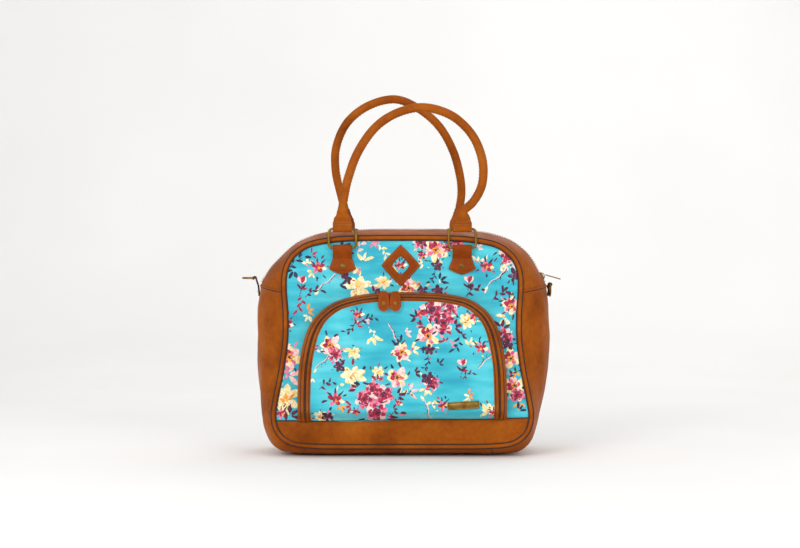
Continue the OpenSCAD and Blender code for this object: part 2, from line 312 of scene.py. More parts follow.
def apply_modifier(piece, kind, **values):
    """Adds a modifier with its values and applies it."""
    modifier = piece.modifiers.new(kind.title(), kind)
    for key, value in values.items():
        setattr(modifier, key, value)
    bpy.ops.object.select_all(action="DESELECT")
    bpy.context.view_layer.objects.active = piece
    piece.select_set(True)
    bpy.ops.object.modifier_apply(modifier=modifier.name)
    piece.select_set(False)
    return piece


def join(name, parts):
    """One piece from several."""
    bpy.ops.object.select_all(action="DESELECT")
    for part in parts:
        part.select_set(True)
    bpy.context.view_layer.objects.active = parts[0]
    bpy.ops.object.join()
    joined = bpy.context.view_layer.objects.active
    joined.name = name
    joined.data.name = name
    joined.select_set(False)
    return joined


def swept(name, path, section, normals, depth_axis=(0, -1, 0), closed=False, ends=True):
    """Sweeps a section along a path. A section point is (out along the normal, out along
    the depth axis), and the section is a closed ring."""
    path = np.asarray(path, float)
    normals = np.asarray(normals, float)
    axis = np.array(depth_axis, float)
    section = np.asarray(section, float)
    if section.ndim == 2:
        section = np.repeat(section[None], len(path), axis=0)
    points = (path[:, None] + section[:, :, :1] * normals[:, None]
              + section[:, :, 1:] * axis[None, None])
    count = section.shape[1]
    faces = grid_faces(len(path), count, closed, True)
    if not closed and ends:
        faces.append(tuple(range(count))[::-1])
        faces.append(tuple((len(path) - 1) * count + k for k in range(count)))
    piece = make_piece(name, points.reshape(-1, 3), faces)
    return outward_faces(piece)


def ring_section(radius, sides=12, squash=1.0):
    angles = np.arange(sides) * 2 * math.pi / sides
    return np.stack([radius * np.cos(angles), radius * squash * np.sin(angles)], axis=1)


def in_plane(points, y):
    """Outline points put at a depth: a number, or one for each point."""
    points = np.asarray(points, float)
    depth = np.full(len(points), y) if np.isscalar(y) else np.asarray(y, float)
    return np.stack([points[:, 0], depth, points[:, 1]], axis=1)


def in_plane_normals(normals):
    return np.stack([normals[:, 0], np.zeros(len(normals)), normals[:, 1]], axis=1)


def stitches(name, path, normals, length=2.3, width=0.75, height=0.45, pitch=None):
    """A row of short thread stitches along a path that lies on a surface."""
    pitch = pitch or sizes().stitch_pitch / MM
    path = np.asarray(path, float)
    normals = np.asarray(normals, float)
    along = evenly(np.concatenate([path, normals], axis=1), pitch)
    spots, lifts = along[:, :3], along[:, 3:]
    lifts /= np.linalg.norm(lifts, axis=1, keepdims=True)
    runs = tangents(spots)
    points, faces = [], []
    for p, n, t in zip(spots, lifts, runs):
        b = np.cross(t, n)
        start = len(points)
        for s, w, h in ((-1, 0.35, -0.2), (-0.45, 1, 1), (0.45, 1, 1), (1, 0.35, -0.2)):
            centre = p + t * s * length / 2
            points.append(centre + b * w * width / 2)
            points.append(centre + n * h * height)
            points.append(centre - b * w * width / 2)
        for k in range(3):
            a = start + 3 * k
            faces.append((a, a + 3, a + 4, a + 1))
            faces.append((a + 1, a + 4, a + 5, a + 2))
    return make_piece(name, points, faces)


def clipped_sheet(name, inside, boundary, cell, depth_at):
    """A sheet of square cells cut to an outline, its edge drawn onto that outline."""
    low, high = boundary.min(axis=0), boundary.max(axis=0)
    nx, nz = (np.ceil((high - low) / cell)).astype(int) + 1
    xs = low[0] + (np.arange(nx) - (nx - 1) / 2) * cell + (high[0] - low[0]) / 2
    zs = low[1] + (np.arange(nz) - (nz - 1) / 2) * cell + (high[1] - low[1]) / 2
    keep = [(i, j) for i in range(nx - 1) for j in range(nz - 1)
            if inside(xs[i] + cell / 2, zs[j] + cell / 2)]
    index, points, faces = {}, [], []
    uses = {}
    for i, j in keep:
        face = []
        for a, b in ((i, j), (i + 1, j), (i + 1, j + 1), (i, j + 1)):
            if (a, b) not in index:
                index[a, b] = len(points)
                points.append([xs[a], zs[b]])
            face.append(index[a, b])
        faces.append(tuple(face))
        for k in range(4):
            edge = tuple(sorted((face[k], face[(k + 1) % 4])))
            uses[edge] = uses.get(edge, 0) + 1
    points = np.array(points)
    rim = sorted({v for edge, n in uses.items() if n == 1 for v in edge})
    dense = evenly(boundary, 0.5, True)
    for v in rim:
        nearest = dense[np.argmin(((dense - points[v]) ** 2).sum(axis=1))]
        points[v] = nearest
    solid = np.array([[x, depth_at(x, z), z] for x, z in points])
    piece = make_piece(name, solid, faces)
    return piece, rim


def inside_test(boundary):
    """A test of whether a point lies inside a closed outline."""
    x0, z0 = boundary[:, 0], boundary[:, 1]
    x1, z1 = np.roll(x0, -1), np.roll(z0, -1)

    def test(x, z):
        crosses = (z0 > z) != (z1 > z)
        with np.errstate(divide="ignore", invalid="ignore"):
            at = x0 + (z - z0) * (x1 - x0) / (z1 - z0)
        return bool(np.count_nonzero(crosses & (at > x)) % 2)

    return test


def away_from(piece, centre=(0, 0, 150)):
    """Turns an open sheet's faces so that they look away from a point, in millimetres."""
    middle = Vector(centre) * MM
    total = sum(f.normal.dot(f.center - middle) * f.area for f in piece.data.polygons)
    if total < 0:
        piece.data.flip_normals()
    return piece


def walled(piece, thickness, inner=None):
    """Gives an open sheet a wall on its inner side, with its own material if one is named."""
    away_from(piece)
    if inner:
        piece.data.materials.append(bpy.data.materials[inner])
    apply_modifier(piece, "SOLIDIFY", thickness=thickness * MM, offset=-1,
                   material_offset=1 if inner else 0)
    return piece


def made_of(piece, material):
    """Gives a piece its material."""
    piece.data.materials.clear()
    piece.data.materials.append(bpy.data.materials[material])
    return piece


def folds(piece):
    """Bakes a piece's placement into its mesh."""
    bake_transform(piece)
    return piece


def smoothstep(value, low, high):
    t = np.clip((np.asarray(value, float) - low) / (high - low), 0, 1)
    return t * t * (3 - 2 * t)


# Materials

def linear(colour):
    """An sRGB hex colour as linear RGBA."""
    values = [int(colour.lstrip("#")[k:k + 2], 16) / 255 for k in (0, 2, 4)]
    return [v / 12.92 if v <= 0.04045 else ((v + 0.055) / 1.055) ** 2.4 for v in values] + [1]


def add_node(tree, kind, inputs=None, stops=None, **settings):
    """Adds a node. Inputs are values or the sockets that feed them; stops are a ramp's colours."""
    node = tree.nodes.new(kind)
    for key, value in settings.items():
        setattr(node, key, value)
    for key, value in (inputs or {}).items():
        socket = node.inputs[key]
        if isinstance(value, bpy.types.NodeSocket):
            tree.links.new(value, socket)
        else:
            socket.default_value = value
    if stops:
        ramp = node.color_ramp
        while len(ramp.elements) < len(stops):
            ramp.elements.new(0.5)
        for element, (place, colour) in zip(ramp.elements, stops):
            element.position = place
            element.color = linear(colour)
    return node


def new_material(name, **values):
    """A material with one shader; the values are set on the shader's own sockets."""
    material = bpy.data.materials.new(name)
    material.use_nodes = True
    tree = material.node_tree
    tree.nodes.clear()
    shader = add_node(tree, "ShaderNodeBsdfPrincipled",
                      {key.replace("_", " "): value for key, value in values.items()})
    add_node(tree, "ShaderNodeOutputMaterial", {"Surface": shader.outputs["BSDF"]})
    place = add_node(tree, "ShaderNodeTexCoord").outputs["Object"]
    return tree, shader, place


def noise_at(tree, place, size, detail=3.0, stretch=(1, 1, 1)):
    """Noise with lumps of about that size in millimetres."""
    spread = add_node(tree, "ShaderNodeMapping", {"Vector": place, "Scale": stretch})
    return add_node(tree, "ShaderNodeTexNoise", {
        "Vector": spread.outputs[0], "Scale": 1 / (size * MM), "Detail": detail}).outputs["Fac"]


def leatherette(name, deep, middle, light):
    """PU leatherette, rolled with a fine pebble grain: satin, with mottled tan patches."""
    tree, shader, place = new_material(
        name, Coat_Weight=0.02, Coat_Roughness=0.4, Specular_IOR_Level=0.06)
    # broad patches where the finish is rubbed in darker, 45 mm across
    patches = noise_at(tree, place, 45, 4)
    tone = add_node(tree, "ShaderNodeValToRGB", {"Fac": patches}, stops=[
        (0.25, deep), (0.5, middle), (0.78, light)])
    # small mottling 6 mm across
    mottle = add_node(tree, "ShaderNodeValToRGB", {"Fac": noise_at(tree, place, 6, 5)}, stops=[
        (0.3, "#C08A55"), (0.68, "#FFF6EC")])
    colour = add_node(tree, "ShaderNodeMix", {"Factor": 0.34, 6: tone.outputs[0],
                                              7: mottle.outputs[0]},
                      data_type="RGBA", blend_type="MULTIPLY")
    tree.links.new(colour.outputs[2], shader.inputs["Base Color"])
    # pebble grain, drawn 1.3 mm wide so that it shows
    pebble = add_node(tree, "ShaderNodeTexVoronoi", {
        "Vector": place, "Scale": 1 / (1.3 * MM)}, feature="SMOOTH_F1").outputs["Distance"]
    creases = noise_at(tree, place, 9, 4, (1, 1, 0.6))
    first = add_node(tree, "ShaderNodeBump", {
        "Height": creases, "Strength": 0.35, "Distance": 0.0012})
    grain = add_node(tree, "ShaderNodeBump", {
        "Height": pebble, "Strength": 0.3, "Distance": 0.00025, "Normal": first.outputs[0]})
    tree.links.new(grain.outputs[0], shader.inputs["Normal"])
    rough = add_node(tree, "ShaderNodeMapRange", {
        "Value": patches, "From Min": 0.3, "From Max": 0.7, "To Min": 0.5, "To Max": 0.38})
    tree.links.new(rough.outputs[0], shader.inputs["Roughness"])


def folded_edge_and_crease_shade():
    """Painted and folded leatherette edges, and the dark lines of painted shade in seam creases: dark
    brown, duller than the skin.
    """
    tree, shader, place = new_material("dark_edge", Roughness=0.62)
    tone = add_node(tree, "ShaderNodeValToRGB", {"Fac": noise_at(tree, place, 4)}, stops=[
        (0.35, "#2A1004"), (0.7, colours().edge)])
    tree.links.new(tone.outputs[0], shader.inputs["Base Color"])
    bump = add_node(tree, "ShaderNodeBump", {
        "Height": noise_at(tree, place, 1.2), "Strength": 0.4, "Distance": 0.0002})
    tree.links.new(bump.outputs[0], shader.inputs["Normal"])


def sewing_thread():
    """Bonded polyester sewing thread: a tan twist a little redder than the leatherette."""
    tree, shader, place = new_material("tan_thread", Roughness=0.7, Sheen_Weight=0.2)
    twist = noise_at(tree, place, 0.5, 2)
    tone = add_node(tree, "ShaderNodeValToRGB", {"Fac": twist}, stops=[
        (0.3, "#7E3F12"), (0.7, "#A9652A")])
    tree.links.new(tone.outputs[0], shader.inputs["Base Color"])


def printed_cloth():
    """Digitally printed canvas with a clear coating: a watercolour print under a soft gloss."""
    tree, shader, place = new_material(
        "printed_canvas", Roughness=0.55, Coat_Weight=0.1, Coat_Roughness=0.4,
        Specular_IOR_Level=0.35)
    # watercolour washes: long level strokes about 70 mm wide and 9 mm high
    wash = noise_at(tree, place, 34, 4, (0.45, 1, 2.6))
    pool = noise_at(tree, place, 60, 3)
    both = add_node(tree, "ShaderNodeMath", {0: wash, 1: pool}, operation="ADD")
    ground = add_node(tree, "ShaderNodeValToRGB", {
        "Fac": add_node(tree, "ShaderNodeMath", {0: both.outputs[0], 1: 0.5},
                        operation="MULTIPLY").outputs[0]}, stops=[
        (0.36, "#1C9CB4"), (0.46, colours().turquoise), (0.55, "#42BECD"),
        (0.68, colours().turquoise_pale)])
    colour = ground.outputs[0]
    # brush wobble of each ink's edge, 2.2 mm long and about a third of a millimetre deep
    wobble = add_node(tree, "ShaderNodeMapRange", {
        "Value": noise_at(tree, place, 2.2, 4), "To Min": -0.13, "To Max": 0.13}).outputs[0]
    tint = noise_at(tree, place, 3.4, 3)
    for ink, shade, light in INK_COLOURS:
        inked = add_node(tree, "ShaderNodeAttribute", attribute_name="ink_" + ink)
        shaken = add_node(tree, "ShaderNodeMath", {0: inked.outputs["Fac"], 1: wobble},
                          operation="ADD")
        mask = add_node(tree, "ShaderNodeMapRange", {
            "Value": shaken.outputs[0], "From Min": 0.475, "From Max": 0.545})
        tone = add_node(tree, "ShaderNodeValToRGB", {"Fac": tint}, stops=[
            (0.38, shade), (0.62, light)])
        layer = add_node(tree, "ShaderNodeMix", {
            "Factor": mask.outputs[0], 6: colour, 7: tone.outputs[0]}, data_type="RGBA")
        colour = layer.outputs[2]
    tree.links.new(colour, shader.inputs["Base Color"])
    # plain weave, drawn at 1 mm to the thread so that it shows
    across = add_node(tree, "ShaderNodeTexWave", {
        "Vector": place, "Scale": math.pi / 10 / (1.0 * MM), "Distortion": 0.6}, bands_direction="X")
    down = add_node(tree, "ShaderNodeTexWave", {
        "Vector": place, "Scale": math.pi / 10 / (1.0 * MM), "Distortion": 0.6}, bands_direction="Z")
    weave = add_node(tree, "ShaderNodeMath", {0: across.outputs["Fac"], 1: down.outputs["Fac"]},
                     operation="ADD")
    bump = add_node(tree, "ShaderNodeBump", {
        "Height": weave.outputs[0], "Strength": 0.18, "Distance": 0.0002})
    tree.links.new(bump.outputs[0], shader.inputs["Normal"])


def lining_cloth():
    """Woven polyester lining: a soft beige twill with a light sheen."""
    tree, shader, place = new_material(
        "beige_lining", Roughness=0.78, Sheen_Weight=0.25, Sheen_Roughness=0.4)
    tone = add_node(tree, "ShaderNodeValToRGB", {"Fac": noise_at(tree, place, 18)}, stops=[
        (0.3, "#B9A684"), (0.7, colours().lining)])
    # diagonal twill lines 1.2 mm apart, coarser than the cloth's own so that they show
    twill = add_node(tree, "ShaderNodeTexWave", {
        "Vector": place, "Scale": math.pi / 10 / (1.2 * MM), "Distortion": 0.4},
        bands_direction="DIAGONAL")
    shaded = add_node(tree, "ShaderNodeMix", {
        "Factor": 0.2, 6: tone.outputs[0], 7: twill.outputs["Color"]},
        data_type="RGBA", blend_type="MULTIPLY")
    tree.links.new(shaded.outputs[2], shader.inputs["Base Color"])
    bump = add_node(tree, "ShaderNodeBump", {
        "Height": twill.outputs["Fac"], "Strength": 0.3, "Distance": 0.0002})
    tree.links.new(bump.outputs[0], shader.inputs["Normal"])


def zip_parts():
    """Woven zip tape and its nylon coil: dark brown, the coil with a plastic glint."""
    tree, shader, place = new_material("brown_tape", Roughness=0.8, Sheen_Weight=0.2)
    rib = add_node(tree, "ShaderNodeTexWave", {
        "Vector": place, "Scale": math.pi / 10 / (0.9 * MM), "Distortion": 0.5})
    tone = add_node(tree, "ShaderNodeValToRGB", {"Fac": rib.outputs["Fac"]}, stops=[
        (0.2, "#2B150B"), (0.8, "#4A2A18")])
    tree.links.new(tone.outputs[0], shader.inputs["Base Color"])
    bump = add_node(tree, "ShaderNodeBump", {
        "Height": rib.outputs["Fac"], "Strength": 0.4, "Distance": 0.0002})
    tree.links.new(bump.outputs[0], shader.inputs["Normal"])
    tree, shader, place = new_material("brown_nylon", Roughness=0.34, IOR=1.53)
    tone = add_node(tree, "ShaderNodeValToRGB", {"Fac": noise_at(tree, place, 5)}, stops=[
        (0.3, "#3A1D0D"), (0.7, "#5B3217")])
    tree.links.new(tone.outputs[0], shader.inputs["Base Color"])


def antique_brass():
    """Antique-plated zinc: dull brass with brown left in its hollows and bright rubbed spots."""
    tree, shader, place = new_material("aged_brass", Metallic=1.0)
    patina = noise_at(tree, place, 11, 2)
    tone = add_node(tree, "ShaderNodeValToRGB", {"Fac": patina}, stops=[
        (0.3, "#664A1F"), (0.52, colours().brass), (0.74, "#9A783B")])
    tree.links.new(tone.outputs[0], shader.inputs["Base Color"])
    rough = add_node(tree, "ShaderNodeMapRange", {
        "Value": patina, "From Min": 0.3, "From Max": 0.7, "To Min": 0.52, "To Max": 0.36})
    tree.links.new(rough.outputs[0], shader.inputs["Roughness"])
    bump = add_node(tree, "ShaderNodeBump", {
        "Height": noise_at(tree, place, 0.9, 4), "Strength": 0.25, "Distance": 0.0001})
    tree.links.new(bump.outputs[0], shader.inputs["Normal"])


def inside_parts():
    """Ribbed elastic and the covered board inside the bag."""
    tree, shader, place = new_material("brown_elastic", Roughness=0.75, Sheen_Weight=0.15)
    rib = add_node(tree, "ShaderNodeTexWave", {
        "Vector": place, "Scale": math.pi / 10 / (1.6 * MM), "Distortion": 0.3},
        bands_direction="X")
    tone = add_node(tree, "ShaderNodeValToRGB", {"Fac": rib.outputs["Fac"]}, stops=[
        (0.2, "#6B4423"), (0.8, "#A87440")])
    tree.links.new(tone.outputs[0], shader.inputs["Base Color"])
    bump = add_node(tree, "ShaderNodeBump", {
        "Height": rib.outputs["Fac"], "Strength": 0.6, "Distance": 0.0004})
    tree.links.new(bump.outputs[0], shader.inputs["Normal"])
    tree, shader, place = new_material("covered_board", Roughness=0.8, Sheen_Weight=0.2)
    tone = add_node(tree, "ShaderNodeValToRGB", {"Fac": noise_at(tree, place, 25, 5)}, stops=[
        (0.3, "#A8946F"), (0.7, "#C4B189")])
    tree.links.new(tone.outputs[0], shader.inputs["Base Color"])
    bump = add_node(tree, "ShaderNodeBump", {
        "Height": noise_at(tree, place, 1.1), "Strength": 0.35, "Distance": 0.0003})
    tree.links.new(bump.outputs[0], shader.inputs["Normal"])


def studio_paper():
    """Seamless paper roll: matt, a little warm, with a faint tooth."""
    tree, shader, place = new_material("studio_paper", Roughness=0.9)
    tone = add_node(tree, "ShaderNodeValToRGB", {"Fac": noise_at(tree, place, 400, 2)}, stops=[
        (0.3, colours().floor), (0.7, "#F8F7F5")])
    tree.links.new(tone.outputs[0], shader.inputs["Base Color"])


# The print: each ink in the order that it is laid down, with its darker and lighter tone
INK_COLOURS = (
    ("cream", "#E8CB72", "#F8F1D2"),
    ("blush", "#EDAFA9", "#F8DCD6"),
    ("pink", "#CF4472", "#EE90A6"),
    ("crimson", "#7E0E30", "#C2264B"),
    ("orange", "#E4792B", "#F0B03C"),
    ("plum", "#35102F", "#651F47"),
    ("navy", "#171A33", "#2B3352"),
)


class Print:
    """Distances, in millimetres, of a cloth's points inside the shapes of each ink."""

    reach = 3.0

    def __init__(self, points):
        self.points = points
        self.depth = {ink: np.full(len(points), -self.reach) for ink, _, _ in INK_COLOURS}

    def mark(self, ink, centre, size, inside, cut=False):
        centre = np.array(centre, float)
        near = np.nonzero((np.abs(self.points - centre) < size + self.reach).all(axis=1))[0]
        if len(near) == 0:
            return
        found = inside(self.points[near] - centre)
        depth = self.depth[ink]
        depth[near] = np.minimum(depth[near], -found) if cut else np.maximum(depth[near], found)

    def petal(self, ink, x, z, turn, length, width, blunt=1.4, cut=False):
        """A petal that grows from a point; blunt under 1 makes it a pointed leaf."""
        along = np.array([math.cos(turn), math.sin(turn)])
        across = np.array([-along[1], along[0]])

        def inside(p):
            u, v = p @ along / length, np.abs(p @ across)
            past = np.maximum(np.maximum(-u, u - 1), 0) * length
            half = width / 2 * np.sin(math.pi * np.clip(u, 0, 1) ** blunt).clip(0) ** 0.75
            return np.where(past > 0, -np.hypot(past, v), half - v)

        self.mark(ink, (x, z), length + width, inside, cut)

    def stroke(self, ink, path, start, end, cut=False):
        """A brush stroke whose width runs from start to end."""
        path = np.array(path, float)
        centre = path.mean(axis=0)
        size = np.abs(path - centre).max() + max(start, end)
        local = path - centre
        count = len(path) - 1

        def inside(p):
            best = np.full(len(p), -99.0)
            for k in range(count):
                a, run = local[k], local[k + 1] - local[k]
                t = np.clip((p - a) @ run / max(run @ run, 1e-9), 0, 1)
                gap = np.linalg.norm(p - a - t[:, None] * run, axis=1)
                best = np.maximum(best, (start + (end - start) * (k + t) / count) / 2 - gap)
            return best

        self.mark(ink, centre, size, inside, cut)

    def blob(self, ink, x, z, radius, dice, lobes=5, rough=0.22, cut=False):
        """A daub with a lobed edge."""
        first, second = dice.uniform(0, 2 * math.pi, 2)

        def inside(p):
            turn = np.arctan2(p[:, 1], p[:, 0])
            edge = radius * (1 + rough * np.sin(lobes * turn + first)
                             + rough * 0.5 * np.sin((2 * lobes + 1) * turn + second))
            return edge - np.linalg.norm(p, axis=1)

        self.mark(ink, (x, z), radius * 1.5, inside, cut)

    def arc(self, ink, x, z, radius, start, sweep, wide, cut=False):
        turns = np.linspace(start, start + sweep, 6)
        path = np.stack([x + radius * np.cos(turns), z + radius * np.sin(turns)], axis=1)
        self.stroke(ink, path, wide, wide * 0.4, cut)

    def rose(self, x, z, size, turn, dice):
        """A full red rose: pale rim, pink and crimson petals, dark folds."""
        for k in range(7):
            a = turn + k * 0.9 + dice.uniform(-0.15, 0.15)
            ink = "blush" if k % 2 else "pink"
            self.petal(ink, x + 0.2 * size * math.cos(a), z + 0.2 * size * math.sin(a),
                       a, size * dice.uniform(0.75, 0.95), size * 0.6)
        for k in range(6):
            a = turn + 0.4 + k * 1.05 + dice.uniform(-0.2, 0.2)
            self.petal("crimson", x + 0.08 * size * math.cos(a), z + 0.08 * size * math.sin(a),
                       a, size * dice.uniform(0.66, 0.86), size * 0.42)
        self.blob("crimson", x, z, size * 0.42, dice)
        for k in range(6):
            self.arc("crimson", x, z, size * dice.uniform(0.3, 0.62), turn + k * 1.05,
                     dice.uniform(0.5, 0.9), max(0.8, size * 0.09), True)
        for k in range(6):
            self.arc("plum", x, z, size * dice.uniform(0.2, 0.85), turn + 0.5 + k * 1.1,
                     dice.uniform(0.5, 1.0), max(1.0, size * 0.13))
        self.blob("plum", x, z, size * 0.17, dice, 3)

    def bloom(self, x, z, size, turn, dice):
        """An open blossom: cream and pink petals, a red side and a dark seeded eye."""
        for k in range(6):
            a = turn + k * 1.05 + dice.uniform(-0.2, 0.2)
            self.petal("cream" if k % 3 else "blush", x, z, a,
                       size * dice.uniform(0.85, 1.1), size * 0.62)
        for k in range(4):
            a = turn + 0.6 + k * 1.4 + dice.uniform(-0.2, 0.2)
            self.petal("pink", x + 0.1 * size * math.cos(a), z + 0.1 * size * math.sin(a),
                       a, size * dice.uniform(0.5, 0.75), size * 0.34)
        for k in range(2):
            a = turn + 1.3 + k * 0.8
            self.petal("crimson", x, z, a, size * 0.72, size * 0.4)
        self.blob("orange", x, z, size * 0.3, dice, 4)
        for k in range(5):
            a = turn + k * 1.25
            self.stroke("plum", [(x + 0.12 * size * math.cos(a), z + 0.12 * size * math.sin(a)),
                                 (x + 0.4 * size * math.cos(a + 0.2),
                                  z + 0.4 * size * math.sin(a + 0.2))], 1.1, 0.7)
        self.blob("navy", x, z, max(0.9, size * 0.12), dice, 3)

    def pale(self, x, z, size, turn, dice):
        """A cream bloom with yellow folds."""
        for k in range(7):
            a = turn + k * 0.9 + dice.uniform(-0.2, 0.2)
            self.petal("cream", x, z, a, size * dice.uniform(0.75, 1.15), size * 0.5)
        for k in range(4):
            a = turn + 0.3 + k * 1.5
            self.stroke("orange", [(x + 0.1 * size * math.cos(a), z + 0.1 * size * math.sin(a)),
                                   (x + 0.5 * size * math.cos(a + 0.3),
                                    z + 0.5 * size * math.sin(a + 0.3))], 1.5, 0.6)
        self.stroke("plum", [(x - 0.2 * size, z - 0.2 * size), (x + 0.1 * size, z - 0.35 * size)],
                    1.3, 0.7)

    def dark(self, x, z, size, turn, dice):
        """A plum flower with crimson lights."""
        for k in range(5):
            a = turn + k * 1.26 + dice.uniform(-0.2, 0.2)
            self.petal("plum", x, z, a, size * dice.uniform(0.8, 1.05), size * 0.6)
        for k in range(3):
            a = turn + 0.5 + k * 2.1
            self.petal("crimson", x, z, a, size * 0.5, size * 0.3)
            self.stroke("plum", [(x, z), (x + 0.5 * size * math.cos(a),
                                          z + 0.5 * size * math.sin(a))], 1.6, 1.0, True)
        self.blob("navy", x, z, size * 0.2, dice, 3)

    def small(self, x, z, size, turn, dice):
        """A small red flower with dark pointed leaves above it."""
        for k in range(5):
            a = turn + k * 1.26
            self.petal("pink" if k % 2 else "crimson", x, z, a, size * 0.75, size * 0.45)
        self.blob("crimson", x, z, size * 0.3, dice, 4)
        self.blob("orange", x + 0.1 * size, z - 0.15 * size, size * 0.16, dice, 3)
        for k in range(3):
            a = math.pi / 2 + (k - 1) * 0.8 + turn * 0.1
            self.petal("navy", x + 0.4 * size * math.cos(a), z + 0.4 * size * math.sin(a),
                       a, size * 0.8, size * 0.2, 0.8)
        self.petal("cream", x, z, turn - 0.6, size * 1.0, size * 0.4)

    def tulip(self, x, z, size, turn, dice):
        """A pink bud on a plum stem."""
        for k, ink in ((-1, "cream"), (1, "blush"), (0, "pink"), (-0.5, "crimson")):
            self.petal(ink, x, z, math.pi / 2 + k * 0.55 + turn, size * 0.95, size * 0.5)
        foot = (x - 0.3 * size, z - 1.5 * size)
        self.stroke("plum", [(x, z), (x - 0.1 * size, z - 0.7 * size), foot], 1.3, 1.0)
        for k, ink in ((0.4, "crimson"), (2.6, "plum"), (1.1, "plum")):
            self.petal(ink, x - 0.1 * size, z - 0.6 * size, k - 0.3, size * 0.85, size * 0.28, 0.8)

    def sprig(self, ink, x, z, size, turn, dice):
        """A stem with leaves on both sides."""
        run = np.array([math.cos(turn), math.sin(turn)])
        bend = np.array([-run[1], run[0]]) * size * 0.18
        start = np.array([x, z]) - run * size / 2
        path = [start, start + run * size / 2 + bend, start + run * size]
        self.stroke(ink, path, 1.2, 0.7)
        for k in range(5):
            t = 0.2 + 0.2 * k
            spot = start + run * size * t + bend * 4 * t * (1 - t)
            a = turn + (0.8 if k % 2 else -0.8) + dice.uniform(-0.2, 0.2)
            self.petal(ink, spot[0], spot[1], a, size * dice.uniform(0.28, 0.42),
                       size * 0.16, 0.8)

    def branch(self, x, z, size, turn, dice):
        """A bare twig, dark on its upper side, that ends in a pale bud."""
        run = np.array([math.cos(turn), math.sin(turn)])
        side = np.array([-run[1], run[0]])
        start = np.array([x, z]) - run * size / 2
        path = [start, start + run * size * 0.4 + side * size * 0.07,
                start + run * size * 0.7 - side * size * 0.03, start + run * size]
        self.stroke("blush", [p - side * 0.8 for p in path], 2.0, 1.4)
        self.stroke("plum", path, 1.4, 0.9)
        for k in (0.35, 0.62):
            spot = start + run * size * k + side * size * 0.05
            self.stroke("navy", [spot, spot + (run + side) * size * 0.16], 1.1, 0.7)
        end = start + run * size
        self.petal("cream", end[0], end[1], turn + 0.3, size * 0.3, size * 0.13, 0.9)

    def leaves(self, ink, x, z, size, turn, dice):
        """Three loose leaves."""
        for k in range(3):
            a = turn + (k - 1) * 0.9
            self.petal(ink, x + 0.15 * size * math.cos(a), z + 0.15 * size * math.sin(a), a,
                       size * dice.uniform(0.6, 0.9), size * 0.3, 0.85)

    def scatter(self, x, z, size, dice):
        """Loose petals and dabs around a flower."""
        for ink in ("cream", "pink", "plum", "navy", "blush"):
            a = dice.uniform(0, 2 * math.pi)
            far = size * dice.uniform(0.9, 1.3)
            self.petal(ink, x + far * math.cos(a), z + far * math.sin(a), a + 0.5,
                       size * dice.uniform(0.2, 0.34), size * 0.13, 0.9)

    def company(self, x, z, size, dice):
        """Pointed leaves, stems and loose dabs that grow out from behind a flower."""
        first = dice.uniform(0, 2 * math.pi)
        for k, ink in enumerate(("plum", "navy", "crimson", "plum", "cream", "pink")):
            a = first + k * 1.05 + dice.uniform(-0.3, 0.3)
            far = size * dice.uniform(0.75, 1.0)
            self.petal(ink, x + far * math.cos(a), z + far * math.sin(a),
                       a + dice.uniform(-0.7, 0.7), size * dice.uniform(0.35, 0.7),
                       size * dice.uniform(0.16, 0.26), 0.85)

    def bouquet(self, x, z, size, turn, dice):
        """A spray of red roses with dark leaves, a pale bloom and buds."""
        for a, far, ink in ((0.3, 0.9, "plum"), (1.5, 0.85, "crimson"), (2.5, 0.95, "plum"),
                            (3.3, 1.0, "crimson"), (4.2, 0.8, "plum"), (5.4, 0.85, "navy")):
            self.leaves(ink, x + far * size * math.cos(a), z + far * size * math.sin(a),
                        size * 0.4, a, dice)
        for a, far, wide in ((0.6, 0.42, 0.44), (2.7, 0.5, 0.38), (4.6, 0.4, 0.46),
                             (1.6, 0.55, 0.34)):
            self.rose(x + far * size * math.cos(a + turn), z + far * size * math.sin(a + turn),
                      size * wide, a, dice)
        for a in (3.6, 5.5, 0.0):
            self.small(x + 0.9 * size * math.cos(a), z + 0.9 * size * math.sin(a),
                       size * 0.22, a, dice)
        self.scatter(x, z, size, dice)


